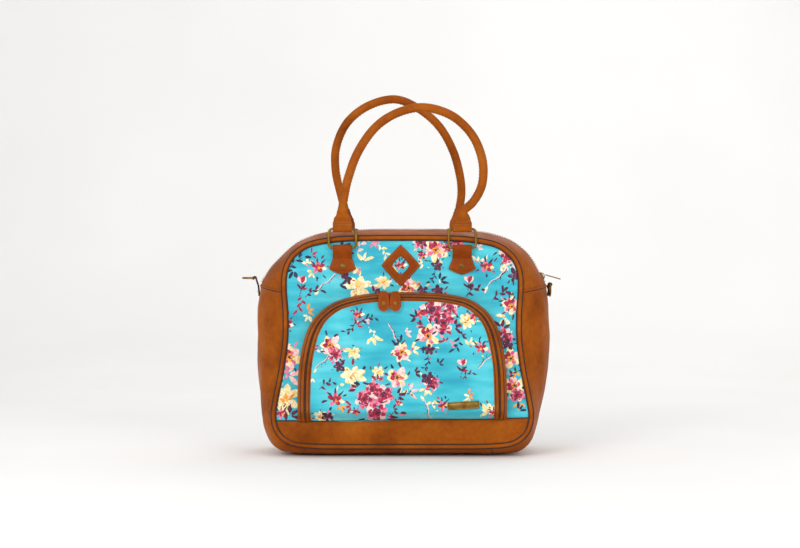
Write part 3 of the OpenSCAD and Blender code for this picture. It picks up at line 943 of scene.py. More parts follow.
# Motifs of the pocket and of the panel behind it: kind, across, up, size, turn. Sizes are
# drawn MOTIF_GROWTH times larger. How a motif is drawn is this script's own; which one
# stands where follows the photographed print, except in HIDDEN_MOTIFS.
MOTIF_GROWTH = 1.1
POCKET_MOTIFS = (
    ("bouquet", -34, 72, 29, 0.2), ("pale", -64, 107, 15, 0.4), ("rose", 38, 192, 14, 0.0),
    ("rose", 53, 176, 13, 1.0), ("rose", 62, 193, 9, 2.0), ("leaves plum", 66, 170, 13, 0.2),
    ("leaves plum", 20, 182, 12, 2.8), ("leaves crimson", 28, 172, 11, 3.6),
    ("small", 23, 186, 8, 1.0), ("bloom", 34, 158, 14, 0.4), ("dark", 35, 140, 8, 0.3),
    ("sprig navy", 31, 125, 14, 4.4), ("leaves navy", 46, 122, 9, 0.6),
    ("dark", 33, 104, 9, 1.2), ("rose", 38, 97, 9, 0.5), ("bloom", -6, 104, 13, 1.2),
    ("leaves plum", 16, 110, 10, 0.3), ("pale", -31, 111, 9, 0.2), ("bloom", -1, 137, 12, 2.2),
    ("leaves navy", -2, 149, 11, 2.4), ("leaves cream", 12, 141, 12, 0.2),
    ("leaves blush", 8, 86, 13, 0.2), ("sprig plum", 4, 82, 12, 0.1),
    ("bloom", -93, 146, 13, 1.0), ("dark", -82, 119, 8, 0.6), ("rose", -87, 134, 8, 0.4),
    ("branch", -103, 124, 22, 3.9), ("sprig plum", -68, 169, 16, 3.9),
    ("leaves crimson", -60, 171, 10, 0.8), ("sprig navy", -45, 178, 18, 0.3),
    ("leaves cream", -38, 158, 14, 5.0), ("leaves cream", -64, 142, 15, 4.3),
    ("pale", -61, 137, 8, 1.0), ("sprig cream", -40, 162, 15, 5.2), ("branch", -11, 161, 24, 5.2),
    ("sprig navy", 70, 150, 18, 4.4), ("leaves plum", 76, 158, 9, 0.5),
    ("small", 101, 143, 10, 0.4), ("leaves cream", 88, 146, 11, 1.4), ("tulip", 78, 119, 10, 0.0),
    ("sprig plum", 84, 106, 15, 0.5), ("leaves orange", 85, 82, 9, 0.2),
    ("leaves cream", 88, 79, 10, 3.6), ("small", -87, 76, 12, 0.3),
    ("leaves orange", -80, 68, 9, 5.0), ("sprig plum", -99, 93, 18, 0.5),
    ("branch", 34, 60, 27, 1.9), ("small", 52, 68, 9, 0.8), ("pale", 112, 62, 10, 0.5),
    ("small", 118, 57, 8, 0.3), ("pale", -106, 53, 9, 0.9), ("dark", -98, 52, 8, 0.9),
    ("branch", 108, 127, 22, 0.8), ("leaves blush", -47, 181, 9, 5.2),
    ("small", -58, 186, 8, 0.5), ("pale", 84, 178, 11, 0.6), ("small", 92, 184, 8, 1.2),
    ("leaves pink", 62, 147, 8, 0.4), ("leaves crimson", 56, 150, 8, 2.0),
    ("leaves pink", 46, 162, 10, 0.2), ("leaves cream", 38, 75, 11, 5.0),
    ("leaves cream", 32, 90, 10, 4.4), ("leaves plum", -12, 62, 9, 0.2),
    ("leaves blush", -104, 135, 9, 1.6), ("leaves crimson", -118, 140, 8, 1.0),
    ("leaves cream", -118, 104, 9, 4.4), ("leaves blush", 4, 161, 9, 0.4),
)
PANEL_MOTIFS = (
    ("sprig navy", -138, 251, 24, 0.7), ("leaves navy", -141, 243, 13, 4.2),
    ("leaves cream", -124, 249, 12, 1.6), ("small", -110, 247, 11, 0.3),
    ("leaves cream", -116, 241, 10, 4.0), ("branch", -99, 227, 27, 3.9),
    ("dark", -73, 231, 8, 0.2), ("tulip", -131, 225, 10, 0.0), ("sprig plum", -117, 212, 20, 0.5),
    ("sprig crimson", -135, 202, 20, 4.5), ("leaves orange", -124, 189, 10, 0.4),
    ("leaves cream", -122, 184, 9, 4.2), ("pale", -58, 220, 16, 0.4),
    ("leaves orange", -57, 212, 10, 4.4), ("pale", -25, 227, 10, 0.2),
    ("leaves plum", -38, 213, 10, 0.6), ("dark", -30, 211, 7, 0.6),
    ("sprig blush", -52, 273, 20, 0.9), ("leaves cream", -51, 254, 14, 1.3),
    ("leaves cream", -57, 247, 14, 4.0), ("sprig cream", -27, 269, 17, 5.3),
    ("leaves pink", -38, 281, 10, 5.2), ("leaves navy", -80, 272, 14, 0.4),
    ("leaves plum", -71, 268, 10, 5.0), ("rose", 24, 279, 9, 0.4), ("bloom", 44, 269, 15, 0.4),
    ("leaves crimson", 31, 281, 9, 2.6), ("rose", 71, 282, 9, 0.4), ("small", 58, 272, 8, 0.4),
    ("dark", 45, 249, 8, 0.3), ("sprig navy", 39, 235, 14, 4.4), ("leaves navy", 49, 229, 12, 0.6),
    ("leaves cream", 28, 252, 10, 3.2), ("small", 26, 262, 7, 0.4), ("bloom", 8, 219, 12, 1.2),
    ("dark", 26, 216, 8, 0.5), ("dark", 46, 216, 9, 0.5), ("leaves orange", 17, 222, 8, 1.0),
    ("small", 109, 248, 11, 0.4), ("leaves cream", 98, 253, 11, 1.4), ("tulip", 87, 226, 10, 0.0),
    ("sprig plum", 93, 214, 20, 0.4), ("branch", 124, 233, 30, 3.9), ("rose", 138, 261, 10, 0.4),
    ("bloom", 134, 272, 11, 0.8), ("leaves cream", 130, 250, 12, 5.6), ("dark", 146, 236, 9, 0.5),
    ("leaves blush", 143, 248, 10, 0.4), ("sprig plum", 126, 208, 20, 0.5),
    ("leaves plum", 132, 215, 10, 0.8), ("bloom", 143, 196, 12, 0.6), ("small", 140, 200, 9, 0.6),
    ("leaves cream", 137, 182, 14, 3.9), ("leaves plum", 130, 166, 14, 1.4),
    ("rose", 134, 156, 10, 0.2), ("dark", 138, 145, 8, 0.2), ("bloom", 141, 127, 13, 0.6),
    ("leaves orange", 147, 112, 10, 4.6), ("sprig navy", 146, 106, 16, 0.8),
    ("bloom", 146, 92, 13, 1.6), ("rose", 150, 80, 9, 0.6), ("leaves orange", 152, 70, 10, 4.8),
    ("leaves navy", 152, 60, 11, 0.8), ("small", -151, 174, 10, 0.2), ("bloom", -147, 129, 15, 0.6),
    ("leaves blush", -157, 140, 15, 1.4), ("leaves blush", -150, 106, 20, 0.2),
    ("leaves cream", -154, 98, 18, 3.0), ("leaves pink", -146, 110, 12, 3.2),
    ("pale", -152, 74, 19, 0.4), ("leaves orange", -150, 70, 13, 1.8),
    ("leaves plum", -147, 53, 14, 0.6), ("small", -158, 55, 10, 0.6),
    ("leaves crimson", -118, 262, 9, 0.6), ("leaves blush", 98, 272, 10, 0.6),
    ("small", -3, 249, 9, 0.6), ("leaves cream", -7, 244, 9, 3.6),
)
# What the opened pocket uncovers on the front panel
HIDDEN_MOTIFS = (
    ("bouquet", 40, 120, 29, 0.4), ("pale", 6, 150, 15, 0.4), ("bloom", -60, 160, 14, 0.4),
    ("dark", -48, 140, 8, 0.3), ("sprig navy", -78, 120, 18, 4.4), ("small", -20, 108, 11, 0.3),
    ("tulip", -90, 92, 10, 0.0), ("rose", -40, 72, 12, 0.4), ("rose", -54, 84, 9, 0.8),
    ("leaves plum", -66, 74, 12, 3.0), ("branch", 100, 160, 26, 0.8), ("bloom", 108, 80, 13, 0.2),
    ("leaves cream", 60, 170, 14, 0.8), ("sprig plum", 84, 186, 18, 0.5), ("small", 20, 186, 11, 1.0),
    ("leaves cream", -96, 168, 14, 1.8), ("pale", 10, 72, 12, 1.0), ("leaves navy", 66, 76, 12, 5.0),
    ("sprig cream", -18, 176, 16, 1.2), ("leaves orange", -108, 132, 9, 1.0),
)


def lay_print(piece, motifs, flip=1):
    """Paints motifs onto a cloth piece, as one distance for each ink at each point."""
    count = len(piece.data.vertices)
    places = np.empty(count * 3, np.float32)
    piece.data.vertices.foreach_get("co", places)
    places = places.reshape(-1, 3).astype(float) / MM
    flat = places[:, [0, 2]] * np.array([flip, 1])
    # the brush wanders: every shape is pulled about a little, so that no two petals match
    drift = np.array([[1.5 * soft_noise(x, 11, z, 12) + 0.9 * soft_noise(x, 31, z, 4.6),
                       1.5 * soft_noise(x, 71, z, 12) + 0.9 * soft_noise(x, 91, z, 4.6)]
                      for x, z in flat])
    painting = Print(flat + drift)
    for order, (kind, x, z, size, turn) in enumerate(motifs):
        dice = np.random.default_rng(order * 7 + 11)
        shape, _, ink = kind.partition(" ")
        draw = getattr(painting, shape)
        size *= MOTIF_GROWTH
        if ink:
            draw(ink, x, z, size, turn, dice)
        else:
            draw(x, z, size, turn, dice)
        if shape in ("rose", "bloom", "pale", "small", "dark"):
            painting.company(x, z, size, dice)
    for ink, depth in painting.depth.items():
        layer = piece.data.attributes.new("ink_" + ink, "FLOAT", "POINT")
        layer.data.foreach_set("value", np.clip(0.5 + depth / 6, 0, 1).astype(np.float32))
    return piece


# Shapes shared by the pieces

def face_depth(x, z, side=-1):
    """Depth of a face's cloth, which is a little fuller in its middle."""
    u, v = x / 172, (z - 150) / 146
    crown = 2.0 * max(0.0, 1 - u * u) * max(0.0, 1 - v * v)
    lumps = 0.7 * soft_noise(x, side * 40, z, 55) + 0.3 * soft_noise(x, side * 90, z, 24)
    fade = min(1.0, max(0.0, 1 - u * u) * 4) * min(1.0, max(0.0, 1 - v * v) * 4)
    return side * (FACE_Y + 0.2 + crown + lumps * fade)


def band_edge(x):
    """Height of the base band's sewn top edge, which climbs a little to the right."""
    return BAND_TOP + 0.6 + 0.013 * x + 0.5 * math.sin(x / 31 + 1)


def face_cloth_outline(low, inset=3.2):
    """Outline of a face's cloth from the base band's edge up, at an inset from the bag's edge."""
    loop = evenly(face_loop(inset), 2.0, True)
    kept = loop[[z > band_edge(x) + low for x, z in loop]]
    first = int(np.argmax(np.linalg.norm(kept - np.roll(kept, 1, axis=0), axis=1)))
    kept = np.roll(kept, -first, axis=0)
    across = np.linspace(kept[-1][0], kept[0][0], 60)[1:-1]
    foot = np.array([[x, band_edge(x) + low] for x in across])
    return np.concatenate([kept, foot])


def cloth_face(name, side, low):
    outline = face_cloth_outline(low)
    piece, rim = clipped_sheet(name, inside_test(outline), outline, 4.4,
                               lambda x, z: face_depth(x, z, side))
    away_from(piece)
    apply_modifier(piece, "SUBSURF", levels=2, render_levels=2)
    return piece


def tube(name, path, radius, normals, closed=False, sides=10, depth_axis=(0, -1, 0)):
    return swept(name, path, ring_section(radius, sides), normals, depth_axis, closed)


def face_line(inset, radius, side, out=0.0, spacing=3.0, sides=8, name="line"):
    """A round line that follows the edge of a face at an inset."""
    loop = evenly(face_loop(inset), spacing, True)
    normals = in_plane_normals(outward(loop, True))
    return tube(name, in_plane(loop, side * (FACE_Y + out)), radius, normals, True, sides)


def gusset_rows(first_half, spacing=4.2):
    """(face, middle) rows of the gusset from seam to seam: round the base, or over the top."""
    if first_half:
        face, middle = stations(0, SEAM_STATION)
        face = np.concatenate([face[::-1] * [-1, 1], face[1:]])
        middle = np.concatenate([middle[::-1] * [-1, 1], middle[1:]])
    else:
        face, middle = stations(SEAM_STATION, 2 * TOP_STATION - SEAM_STATION)
    rows = evenly(np.concatenate([face, middle], axis=1), spacing * 1.4)
    return rows[:, :2], rows[:, 2:]


def gusset_sheet(name, around_base, depths, depth=1.5, size=46, seed=3.0, inset=0.0):
    """A sheet of the gusset between two depths, with soft creases."""
    face, middle = gusset_rows(around_base)
    grid = gusset_section(face, middle, depths, float(BODY_DEPTH), inset)
    if depth:
        grid = creased(grid, depth, size, seed)
    grid[:, :, 2] = np.maximum(grid[:, :, 2], 0.05)
    piece = make_piece(name, grid.reshape(-1, 3), grid_faces(grid.shape[0], grid.shape[1]))
    away_from(piece)
    return piece


def gusset_line(face, middle, y):
    """A line along the gusset at one depth, with its outward normals."""
    line = gusset_section(face, middle, [y], float(BODY_DEPTH))[:, 0]
    flat = line[:, [0, 2]]
    return line, in_plane_normals(outward(flat))


def strap_profile(points, steps=4):
    """A smooth side profile in Y and Z, with its normals."""
    path = smooth_curve(points, steps)
    run = tangents(path)
    normals = np.stack([np.zeros(len(path)), -run[:, 1], run[:, 0]], axis=1)
    return np.stack([np.zeros(len(path)), path[:, 0], path[:, 1]], axis=1), normals


def strap_section(thick, half_width):
    """A strap's section with softly rounded edges."""
    t, w = thick / 2, half_width
    return np.array([(-t, -w + 0.7), (-t, w - 0.7), (-t * 0.5, w - 0.1), (t * 0.5, w - 0.1),
                     (t, w - 0.7), (t, -w + 0.7), (t * 0.5, -w + 0.1), (-t * 0.5, -w + 0.1)])


def box_block(name, low, high, bevel, segments=3):
    """A block with rounded edges between two corners in millimetres."""
    low, high = np.array(low, float), np.array(high, float)
    bpy.ops.object.select_all(action="DESELECT")
    bpy.ops.mesh.primitive_cube_add(size=1, location=tuple((low + high) / 2 * MM))
    piece = bpy.context.active_object
    piece.name = piece.data.name = name
    piece.scale = tuple((high - low) * MM)
    bpy.ops.object.transform_apply(location=True, rotation=True, scale=True)
    apply_modifier(piece, "BEVEL", width=bevel * MM, segments=segments, limit_method="ANGLE")
    piece.data.shade_smooth()
    return piece


def dome(name, centre, radius, height, axis=(0, -1, 0)):
    """A rivet head: a disc inset and raised twice into a dome with a rolled edge."""
    bpy.ops.object.select_all(action="DESELECT")
    bpy.ops.mesh.primitive_cylinder_add(
        vertices=36, radius=radius * MM, depth=height * 0.5 * MM, location=(0, 0, 0))
    piece = bpy.context.active_object
    piece.name = piece.data.name = name
    bpy.ops.object.mode_set(mode="EDIT")
    bpy.ops.mesh.select_all(action="DESELECT")
    bpy.ops.object.mode_set(mode="OBJECT")
    for face in piece.data.polygons:
        face.select = face.normal.z > 0.9
    bpy.ops.object.mode_set(mode="EDIT")
    for thick, depth in ((0.12, 0.16), (0.16, 0.0), (0.05, -0.12), (0.12, 0.18), (0.22, 0.14),
                         (0.2, 0.05)):
        bpy.ops.mesh.inset(thickness=thick * radius * MM, depth=depth * height * MM)
    bpy.ops.object.mode_set(mode="OBJECT")
    apply_modifier(piece, "BEVEL", width=0.08 * radius * MM, segments=2, limit_method="ANGLE")
    turn = Vector((0, 0, 1)).rotation_difference(Vector(axis))
    piece.data.transform(turn.to_matrix().to_4x4())
    piece.data.transform(Matrix.Translation(Vector(centre) * MM))
    piece.data.shade_smooth()
    return piece


class StepOperator:
    """Shared settings of every step."""

    bl_options = {"REGISTER", "UNDO"}


class BAG_OT_materials(StepOperator, bpy.types.Operator):
    """Makes the bag's materials"""

    bl_idname = "bag.materials"
    bl_label = "Materials"

    def execute(self, context):
        leatherette("tan_leatherette", colours().tan_deep, colours().tan, "#AC6118")
        leatherette("red_tan_leatherette", "#6C2E08", "#8B3F0C", "#9B4C12")
        folded_edge_and_crease_shade()
        sewing_thread()
        printed_cloth()
        lining_cloth()
        zip_parts()
        antique_brass()
        inside_parts()
        studio_paper()
        return {"FINISHED"}


class BAG_OT_stage(StepOperator, bpy.types.Operator):
    """Sets the camera, the paper backdrop and the soft lights"""

    bl_idname = "bag.stage"
    bl_label = "Stage"

    def execute(self, context):
        scene = context.scene
        lens = bpy.data.cameras.new("camera")
        lens.lens = 85
        lens.sensor_width = 36
        lens.clip_end = 20
        camera = bpy.data.objects.new("camera", lens)
        scene.collection.objects.link(camera)
        camera.location = (-0.003, -2.54, 0.285)
        aim = Vector((-0.003, -0.085, 0.238)) - camera.location
        camera.rotation_euler = aim.to_track_quat("-Z", "Y").to_euler()
        scene.camera = camera
        # paper: floor, then a wide curve up to the wall
        profile = smooth_curve([(-3500, 0), (-500, 0), (1400, 0), (2100, 160), (2500, 700),
                                (2600, 1500), (2600, 3600)], 10)
        half = 4000
        points = [(x, y, z) for y, z in profile for x in (-half, half)]
        paper = make_piece("paper", points, grid_faces(len(profile), 2))
        paper.data.materials.append(bpy.data.materials["studio_paper"])
        if paper.data.polygons[0].normal.z < 0:
            paper.data.flip_normals()
        for name, place, size, power, target in (
                ("key", (-1.4, -2.5, 1.5), 1.6, 38, (0, 0, 0.2)),
                ("fill", (1.7, -2.5, 1.1), 1.8, 24, (0, 0, 0.2)),
                ("top", (0, -0.4, 2.5), 2.2, 9, (0, 0, 0.2)),
                ("back", (0.8, 1.7, 1.9), 1.6, 8, (0, 0.9, 0.2))):
            light = bpy.data.lights.new(name, "AREA")
            light.shape = "DISK"
            light.size = size
            light.energy = power
            lamp = bpy.data.objects.new(name, light)
            lamp.location = place
            aim = Vector(target) - Vector(place)
            lamp.rotation_euler = aim.to_track_quat("-Z", "Y").to_euler()
            scene.collection.objects.link(lamp)
        world = bpy.data.worlds.new("studio")
        world.use_nodes = True
        world.node_tree.nodes["Background"].inputs["Color"].default_value = (1, 1, 1, 1)
        world.node_tree.nodes["Background"].inputs["Strength"].default_value = 0.62
        scene.world = world
        scene.view_settings.view_transform = "Standard"
        return {"FINISHED"}


class BAG_OT_gusset(StepOperator, bpy.types.Operator):
    """Makes the gusset that runs from side to side under the bag, with its seams"""

    bl_idname = "bag.gusset"
    bl_label = "Side and base gusset"

    def execute(self, context):
        end = float(BODY_DEPTH)
        gusset = gusset_sheet("gusset", True, np.linspace(-end, end, 37), *SIDE_CREASES)
        apply_modifier(gusset, "SUBSURF", levels=1, render_levels=1)
        made_of(gusset, "tan_leatherette")
        walled(gusset, 1.3)
        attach(gusset, "bag_body")
        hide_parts("side_gusset_left", "side_gusset_right", "base_gusset")
        # folded seams where the lower gusset meets the zip strip, with a stitch row each side; the dark
        # tube under each ridge is painted shade in the seam's crease
        face, middle = stations(SEAM_STATION, SEAM_STATION + 1, 8)
        lines = []
        for sign in (-1, 1):
            pair = [face[:2] * [sign, 1], middle[:2] * [sign, 1]]
            across = creased(gusset_section(*pair, np.linspace(-end, end, 40), end),
                             *SIDE_CREASES)[0] + [sign * 0.5, 0, 0]
            normals = np.tile([sign, 0, 0.0], (len(across), 1))
            ridge = tube("ridge", across, 1.1, normals, False, 8, (0, 0, 1))
            ridge.data.materials.append(bpy.data.materials["tan_leatherette"])
            lines.append(ridge)
            groove_shade = tube("groove_shade", across - [sign * 0.1, 0, 1.5], 0.65, normals, False, 6, (0, 0, 1))
            groove_shade.data.materials.append(bpy.data.materials["dark_edge"])
            lines.append(groove_shade)
            row = stitches("row", across - [0, 0, 3.6], normals)
            row.data.materials.append(bpy.data.materials["tan_thread"])
            lines.append(row)
        # the base is pieced: two short seams cross it, drawn as dark tubes of painted shade in their
        # creases
        face, middle = gusset_rows(True)
        for x in (4, 117):
            k = int(np.argmin(np.abs(face[:, 0] - x) + 1000 * (face[:, 1] > 40)))
            across = creased(gusset_section(face[k:k + 2], middle[k:k + 2],
                                            np.linspace(-end, end, 40), end), *SIDE_CREASES)[0]
            across[:, 2] = np.maximum(across[:, 2], 0.5)
            groove_shade = tube("groove_shade", across, 0.6, np.tile([0, 0, -1.0], (len(across), 1)),
                          False, 6, (1, 0, 0))
            groove_shade.data.materials.append(bpy.data.materials["dark_edge"])
            lines.append(groove_shade)
        seams = join("gusset_seams", lines)
        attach(seams, "bag_body")
        return {"FINISHED"}


class BAG_OT_zip_strips(StepOperator, bpy.types.Operator):
    """Makes the two leatherette strips beside the top zip"""

    bl_idname = "bag.zip_strips"
    bl_label = "Zip strips"

    def execute(self, context):
        end = float(BODY_DEPTH)
        face, middle = gusset_rows(False, 3.0)
        for side, name in ((-1, "front"), (1, "back")):
            strip = gusset_sheet(name + "_strip", False, side * np.linspace(end, 4.6, 18), 1.2, 40, 9.0)
            apply_modifier(strip, "SUBSURF", levels=1, render_levels=1)
            made_of(strip, "tan_leatherette")
            walled(strip, 1.3)
            folds(strip)
            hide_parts(name + "_zip_strip")
            parts = []
            for y in (6.2, 11.5):
                line, normals = gusset_line(face, middle, side * y)
                row = stitches("row", line[2:-2] + normals[2:-2] * 1.0, normals[2:-2])
                row.data.materials.append(bpy.data.materials["tan_thread"])
                parts.append(row)
            rows = join(name + "_strip_stitches", parts)
            folds(rows)
        return {"FINISHED"}


def zip_teeth(name, path, across, lifts, pitch, reach, side):
    """One side of a zip's coil: a low rounded turn at every pitch."""
    data = evenly(np.concatenate([path, across, lifts], axis=1), pitch)
    spots, over, up = data[:, :3], data[:, 3:6], data[:, 6:]
    over /= np.linalg.norm(over, axis=1, keepdims=True)
    up /= np.linalg.norm(up, axis=1, keepdims=True)
    run = tangents(spots)
    points, faces = [], []
    shift = pitch / 2 if side > 0 else 0
    for p, o, u, t in zip(spots, over, up, run):
        start = len(points)
        q = p + t * shift
        for far, high, wide in ((-reach, 0.1, 0.42), (-reach * 0.5, 1.0, 0.42), (0.35, 0.9, 0.36),
                                (0.7, 0.15, 0.3)):
            for s in (-1, 1):
                points.append(q + o * far + t * s * wide * pitch * 0.9)
                points.append(q + o * far + u * high + t * s * wide * pitch * 0.55)
        for k in range(3):
            a, b = start + 4 * k, start + 4 * k + 4
            faces += [(a, b, b + 1, a + 1), (a + 2, a + 3, b + 3, b + 2),
                      (a + 1, b + 1, b + 3, a + 3)]
        faces += [(start, start + 1, start + 3, start + 2),
                  (start + 12, start + 14, start + 15, start + 13)]
    return make_piece(name, points, faces)


class BAG_OT_main_zip(StepOperator, bpy.types.Operator):
    """Makes the top zip: tapes, coil and end stops"""

    bl_idname = "bag.main_zip"
    bl_label = "Top zip"

    def execute(self, context):
        face, middle = gusset_rows(False, 3.0)
        for side, name in ((-1, "front"), (1, "back")):
            tape = gusset_sheet(name + "_tape", False, side * np.linspace(6.0, 0.25, 4), 0, inset=0.9)
            tape.data.materials.append(bpy.data.materials["brown_tape"])
            walled(tape, 0.6)
            line, normals = gusset_line(face, middle, side * 0.5)
            line = line - normals * 0.9
            teeth = zip_teeth("teeth", line, np.tile([0, -side, 0.0], (len(line), 1)), normals,
                              sizes().coil_pitch / MM, 2.2, side)
            teeth.data.materials.append(bpy.data.materials["brown_nylon"])
            half = join(name + "_coil", [tape, teeth])
            folds(half)
            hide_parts(name + "_zip_coil")
        for sign, name in ((-1, "left"), (1, "right")):
            x = sign * 191.5 + lean(220)
            stop = box_block("zip_stop_" + name, (min(x, x - sign * 2.4), -4.2, 217),
                             (max(x, x - sign * 2.4), 4.2, 223.5), 0.9)
            made_of(stop, "aged_brass")
            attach(stop, "bag_body")
            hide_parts("zip_end_" + name)
        return {"FINISHED"}


class BAG_OT_faces(StepOperator, bpy.types.Operator):
    """Makes the printed front and back panels"""

    bl_idname = "bag.faces"
    bl_label = "Printed panels"

    def execute(self, context):
        front = cloth_face("front_cloth", -1, -1.0)
        lay_print(front, PANEL_MOTIFS + HIDDEN_MOTIFS)
        back = cloth_face("back_cloth", 1, -1.0)
        lay_print(back, PANEL_MOTIFS + POCKET_MOTIFS, -1)
        for piece, side, name in ((front, -1, "front"), (back, 1, "back")):
            made_of(piece, "printed_canvas")
            folds(piece)
            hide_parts(name + "_panel", name + "_panel_top")
        return {"FINISHED"}


class BAG_OT_piping(StepOperator, bpy.types.Operator):
    """Makes the piping round each face, with dark lines of painted shade in the creases beside it"""

    bl_idname = "bag.piping"
    bl_label = "Piping"

    def execute(self, context):
        radius = sizes().piping / MM / 2
        for side, name in ((-1, "front"), (1, "back")):
            bead = face_line(radius, radius, side, 0.3, 2.5, 12)
            bead.data.materials.append(bpy.data.materials["tan_leatherette"])
            parts = [bead]
            # the two dark lines either side of the bead are painted shade in its creases
            for inset, out, wide in ((-0.6, -1.2, 1.05), (2 * radius + 0.55, 1.2, 1.05)):
                fold = face_line(inset, wide, side, out, 3.0, 6)
                fold.data.materials.append(bpy.data.materials["dark_edge"])
                parts.append(fold)
            piping = join(name + "_bead", parts)
            folds(piping)
            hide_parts(name + "_piping", name + "_piping_top")
        return {"FINISHED"}


class BAG_OT_base_bands(StepOperator, bpy.types.Operator):
    """Makes the plain bands across the bottom of each face"""

    bl_idname = "bag.base_bands"
    bl_label = "Base bands"

    def execute(self, context):
        loop = evenly(face_loop(3.0), 2.0, True)
        kept = loop[[z < band_edge(x) for x, z in loop]]
        first = int(np.argmax(np.linalg.norm(kept - np.roll(kept, 1, axis=0), axis=1)))
        kept = np.roll(kept, -first, axis=0)
        across = np.linspace(kept[-1][0], kept[0][0], 90)[1:-1]
        outline = np.concatenate([kept, [[x, band_edge(x)] for x in across]])
        for side, name in ((-1, "front"), (1, "back")):

            def depth(x, z):
                up = np.clip((z - 15) / (band_edge(x) - 15), 0, 1)
                full = math.sin(math.pi * up) ** 0.7
                ends = min(1.0, max(0.0, 165 - abs(x)) / 30)
                drag = soft_noise(x * 0.6, side * 20, z * 1.6, 26, 4)
                tuck = soft_noise(x + z, side * 50, z - x, 15, 8) * smoothstep(side * -x, 90, 150)
                return side * (FACE_Y + 0.9 + 2.3 * full * ends + 0.9 * drag * full
                               + 0.8 * float(tuck) * full)

            band, rim = clipped_sheet(name + "_band", inside_test(outline), outline, 3.4, depth)
            away_from(band)
            apply_modifier(band, "SUBSURF", levels=1, render_levels=1)
            made_of(band, "tan_leatherette")
            walled(band, 0.9)
            top = np.array([[x, band_edge(x)] for x in np.linspace(-164, 164, 120)])
            normals = np.tile([0, 0, 1.0], (len(top), 1))
            edge = tube("edge", in_plane(top + [0, 0.1], side * (FACE_Y + 0.9)), 0.75, normals,
                        False, 6)
            edge.data.materials.append(bpy.data.materials["dark_edge"])
            rows = in_plane(top - [0, 2.6], side * (FACE_Y + 1.45))
            row = stitches("row", rows, np.tile([0, side, 0.0], (len(rows), 1)))
            row.data.materials.append(bpy.data.materials["tan_thread"])
            whole = join(name + "_band", [band, edge, row])
            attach(whole, "bag_body")
            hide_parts(name + "_base_band")
        return {"FINISHED"}


class BAG_OT_lining(StepOperator, bpy.types.Operator):
    """Makes the lining's front and back halves"""

    bl_idname = "bag.lining"
    bl_label = "Lining"

    def execute(self, context):
        end = float(BODY_DEPTH)
        outline = evenly(face_loop(6.0), 3.0, True)
        for side, name in ((-1, "front"), (1, "back")):
            wall, rim = clipped_sheet("wall", inside_test(outline), outline, 6.0,
                                      lambda x, z: side * (end - 1.3 + 0.5 * soft_noise(x, 0, z, 40)))
            around = gusset_sheet("around", True, side * np.linspace(end - 1.3, 0.05, 16),
                                  0.8, 40, 5.0, inset=3.4)
            over = gusset_sheet("over", False, side * np.linspace(end - 1.3, 5.2, 14),
                                0.6, 40, 6.0, inset=2.6)
            half = join("lining_" + name, [wall, around, over])
            for vertex in half.data.vertices:
                vertex.co.z = max(vertex.co.z, 10.6 * MM)
            made_of(half, "beige_lining")
            away_from(half)
            half.data.shade_smooth()
            folds(half)
            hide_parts("lining")
        return {"FINISHED"}


class BAG_OT_inside(StepOperator, bpy.types.Operator):
    """Makes the base board and the gathered pocket inside"""

    bl_idname = "bag.inside"
    bl_label = "Board and inner pocket"

    def execute(self, context):
        low, high = node_box("base_board")
        board = box_block("covered_board", low, high, 1.3)
        made_of(board, "covered_board")
        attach(board, "bag_body")
        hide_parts("base_board")
        low, high = node_box("inner_pocket")
        xs = np.linspace(low[0], high[0], 120)
        zs = np.linspace(low[2], high[2] - 2, 34)

        def depth(x, z):
            up = (z - low[2]) / (high[2] - low[2])
            ends = min(1.0, (high[0] - abs(x)) / 14)
            gather = math.sin(x / 1.9 + 2 * soft_noise(x, 0, z, 30)) * up ** 3
            full = 2.2 * math.sin(math.pi * min(up + 0.1, 1)) ** 0.6
            return high[1] - 0.4 - ends * (1.2 + full + 0.6 * gather)

        cloth = make_piece("inner_pocket_cloth", [(x, depth(x, z), z) for z in zs for x in xs],
                           grid_faces(len(zs), len(xs)))
        away_from(cloth, (0, 150, 110))
        made_of(cloth, "beige_lining")
        walled(cloth, 0.7)
        top = np.array([(x, depth(x, 0.8 * low[2] + 0.2 * high[2])) for x in xs])
        rise = np.array([(depth(0, z), z) for z in zs])
        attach(cloth, "bag_body")
        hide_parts("inner_pocket")
        elastic_low, elastic_high = node_box("inner_pocket_elastic")
        zs = np.linspace(elastic_low[2], elastic_high[2], 7)
        band = make_piece(
            "gathered_elastic",
            [(x, depth(x, z) - 0.9 - 0.35 * math.sin(x / 1.4), z) for z in zs for x in xs],
            grid_faces(len(zs), len(xs)))
        away_from(band, (0, 150, 110))
        made_of(band, "brown_elastic")
        walled(band, 0.8)
        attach(band, "bag_body")
        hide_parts("inner_pocket_elastic")
        return {"FINISHED"}


POCKET_FULL = float(-FLAP_LOW[1]) - FACE_Y


def pocket_depth(z):
    """How far the pocket stands out at a height: little at its foot, all of it above."""
    return 4 + (POCKET_FULL - 4) * float(smoothstep(z, 46, 61))


def pocket_line(spacing=3.0):
    """The pocket's outline from its right foot to its left foot, and its inward normals."""
    path = mirrored_loop(smooth_curve(POCKET_OUTLINE, 8))
    lower = 4.0 * smoothstep(-path[:, 0], 10, 110) * smoothstep(path[:, 1], 90, 180)
    path[:, 1] -= lower
    path[0, 1], path[-1, 1] = band_edge(path[0, 0]) - 1, band_edge(path[-1, 0]) - 1
    path = evenly(path, spacing)
    return path, -outward(path)


def pocket_inset(path, inward, inset):
    """The outline moved in; seen from the front its crown shows less, as it leans back."""
    reach = 1 - 0.38 * inward[:, 1:] ** 2
    return path + inward * inset * reach


def pocket_points(path, inward, inset, share):
    flat = pocket_inset(path, inward, inset)
    depth = [-(FACE_Y + pocket_depth(z) * share) for z in path[:, 1]]
    return in_plane(flat, np.array(depth))


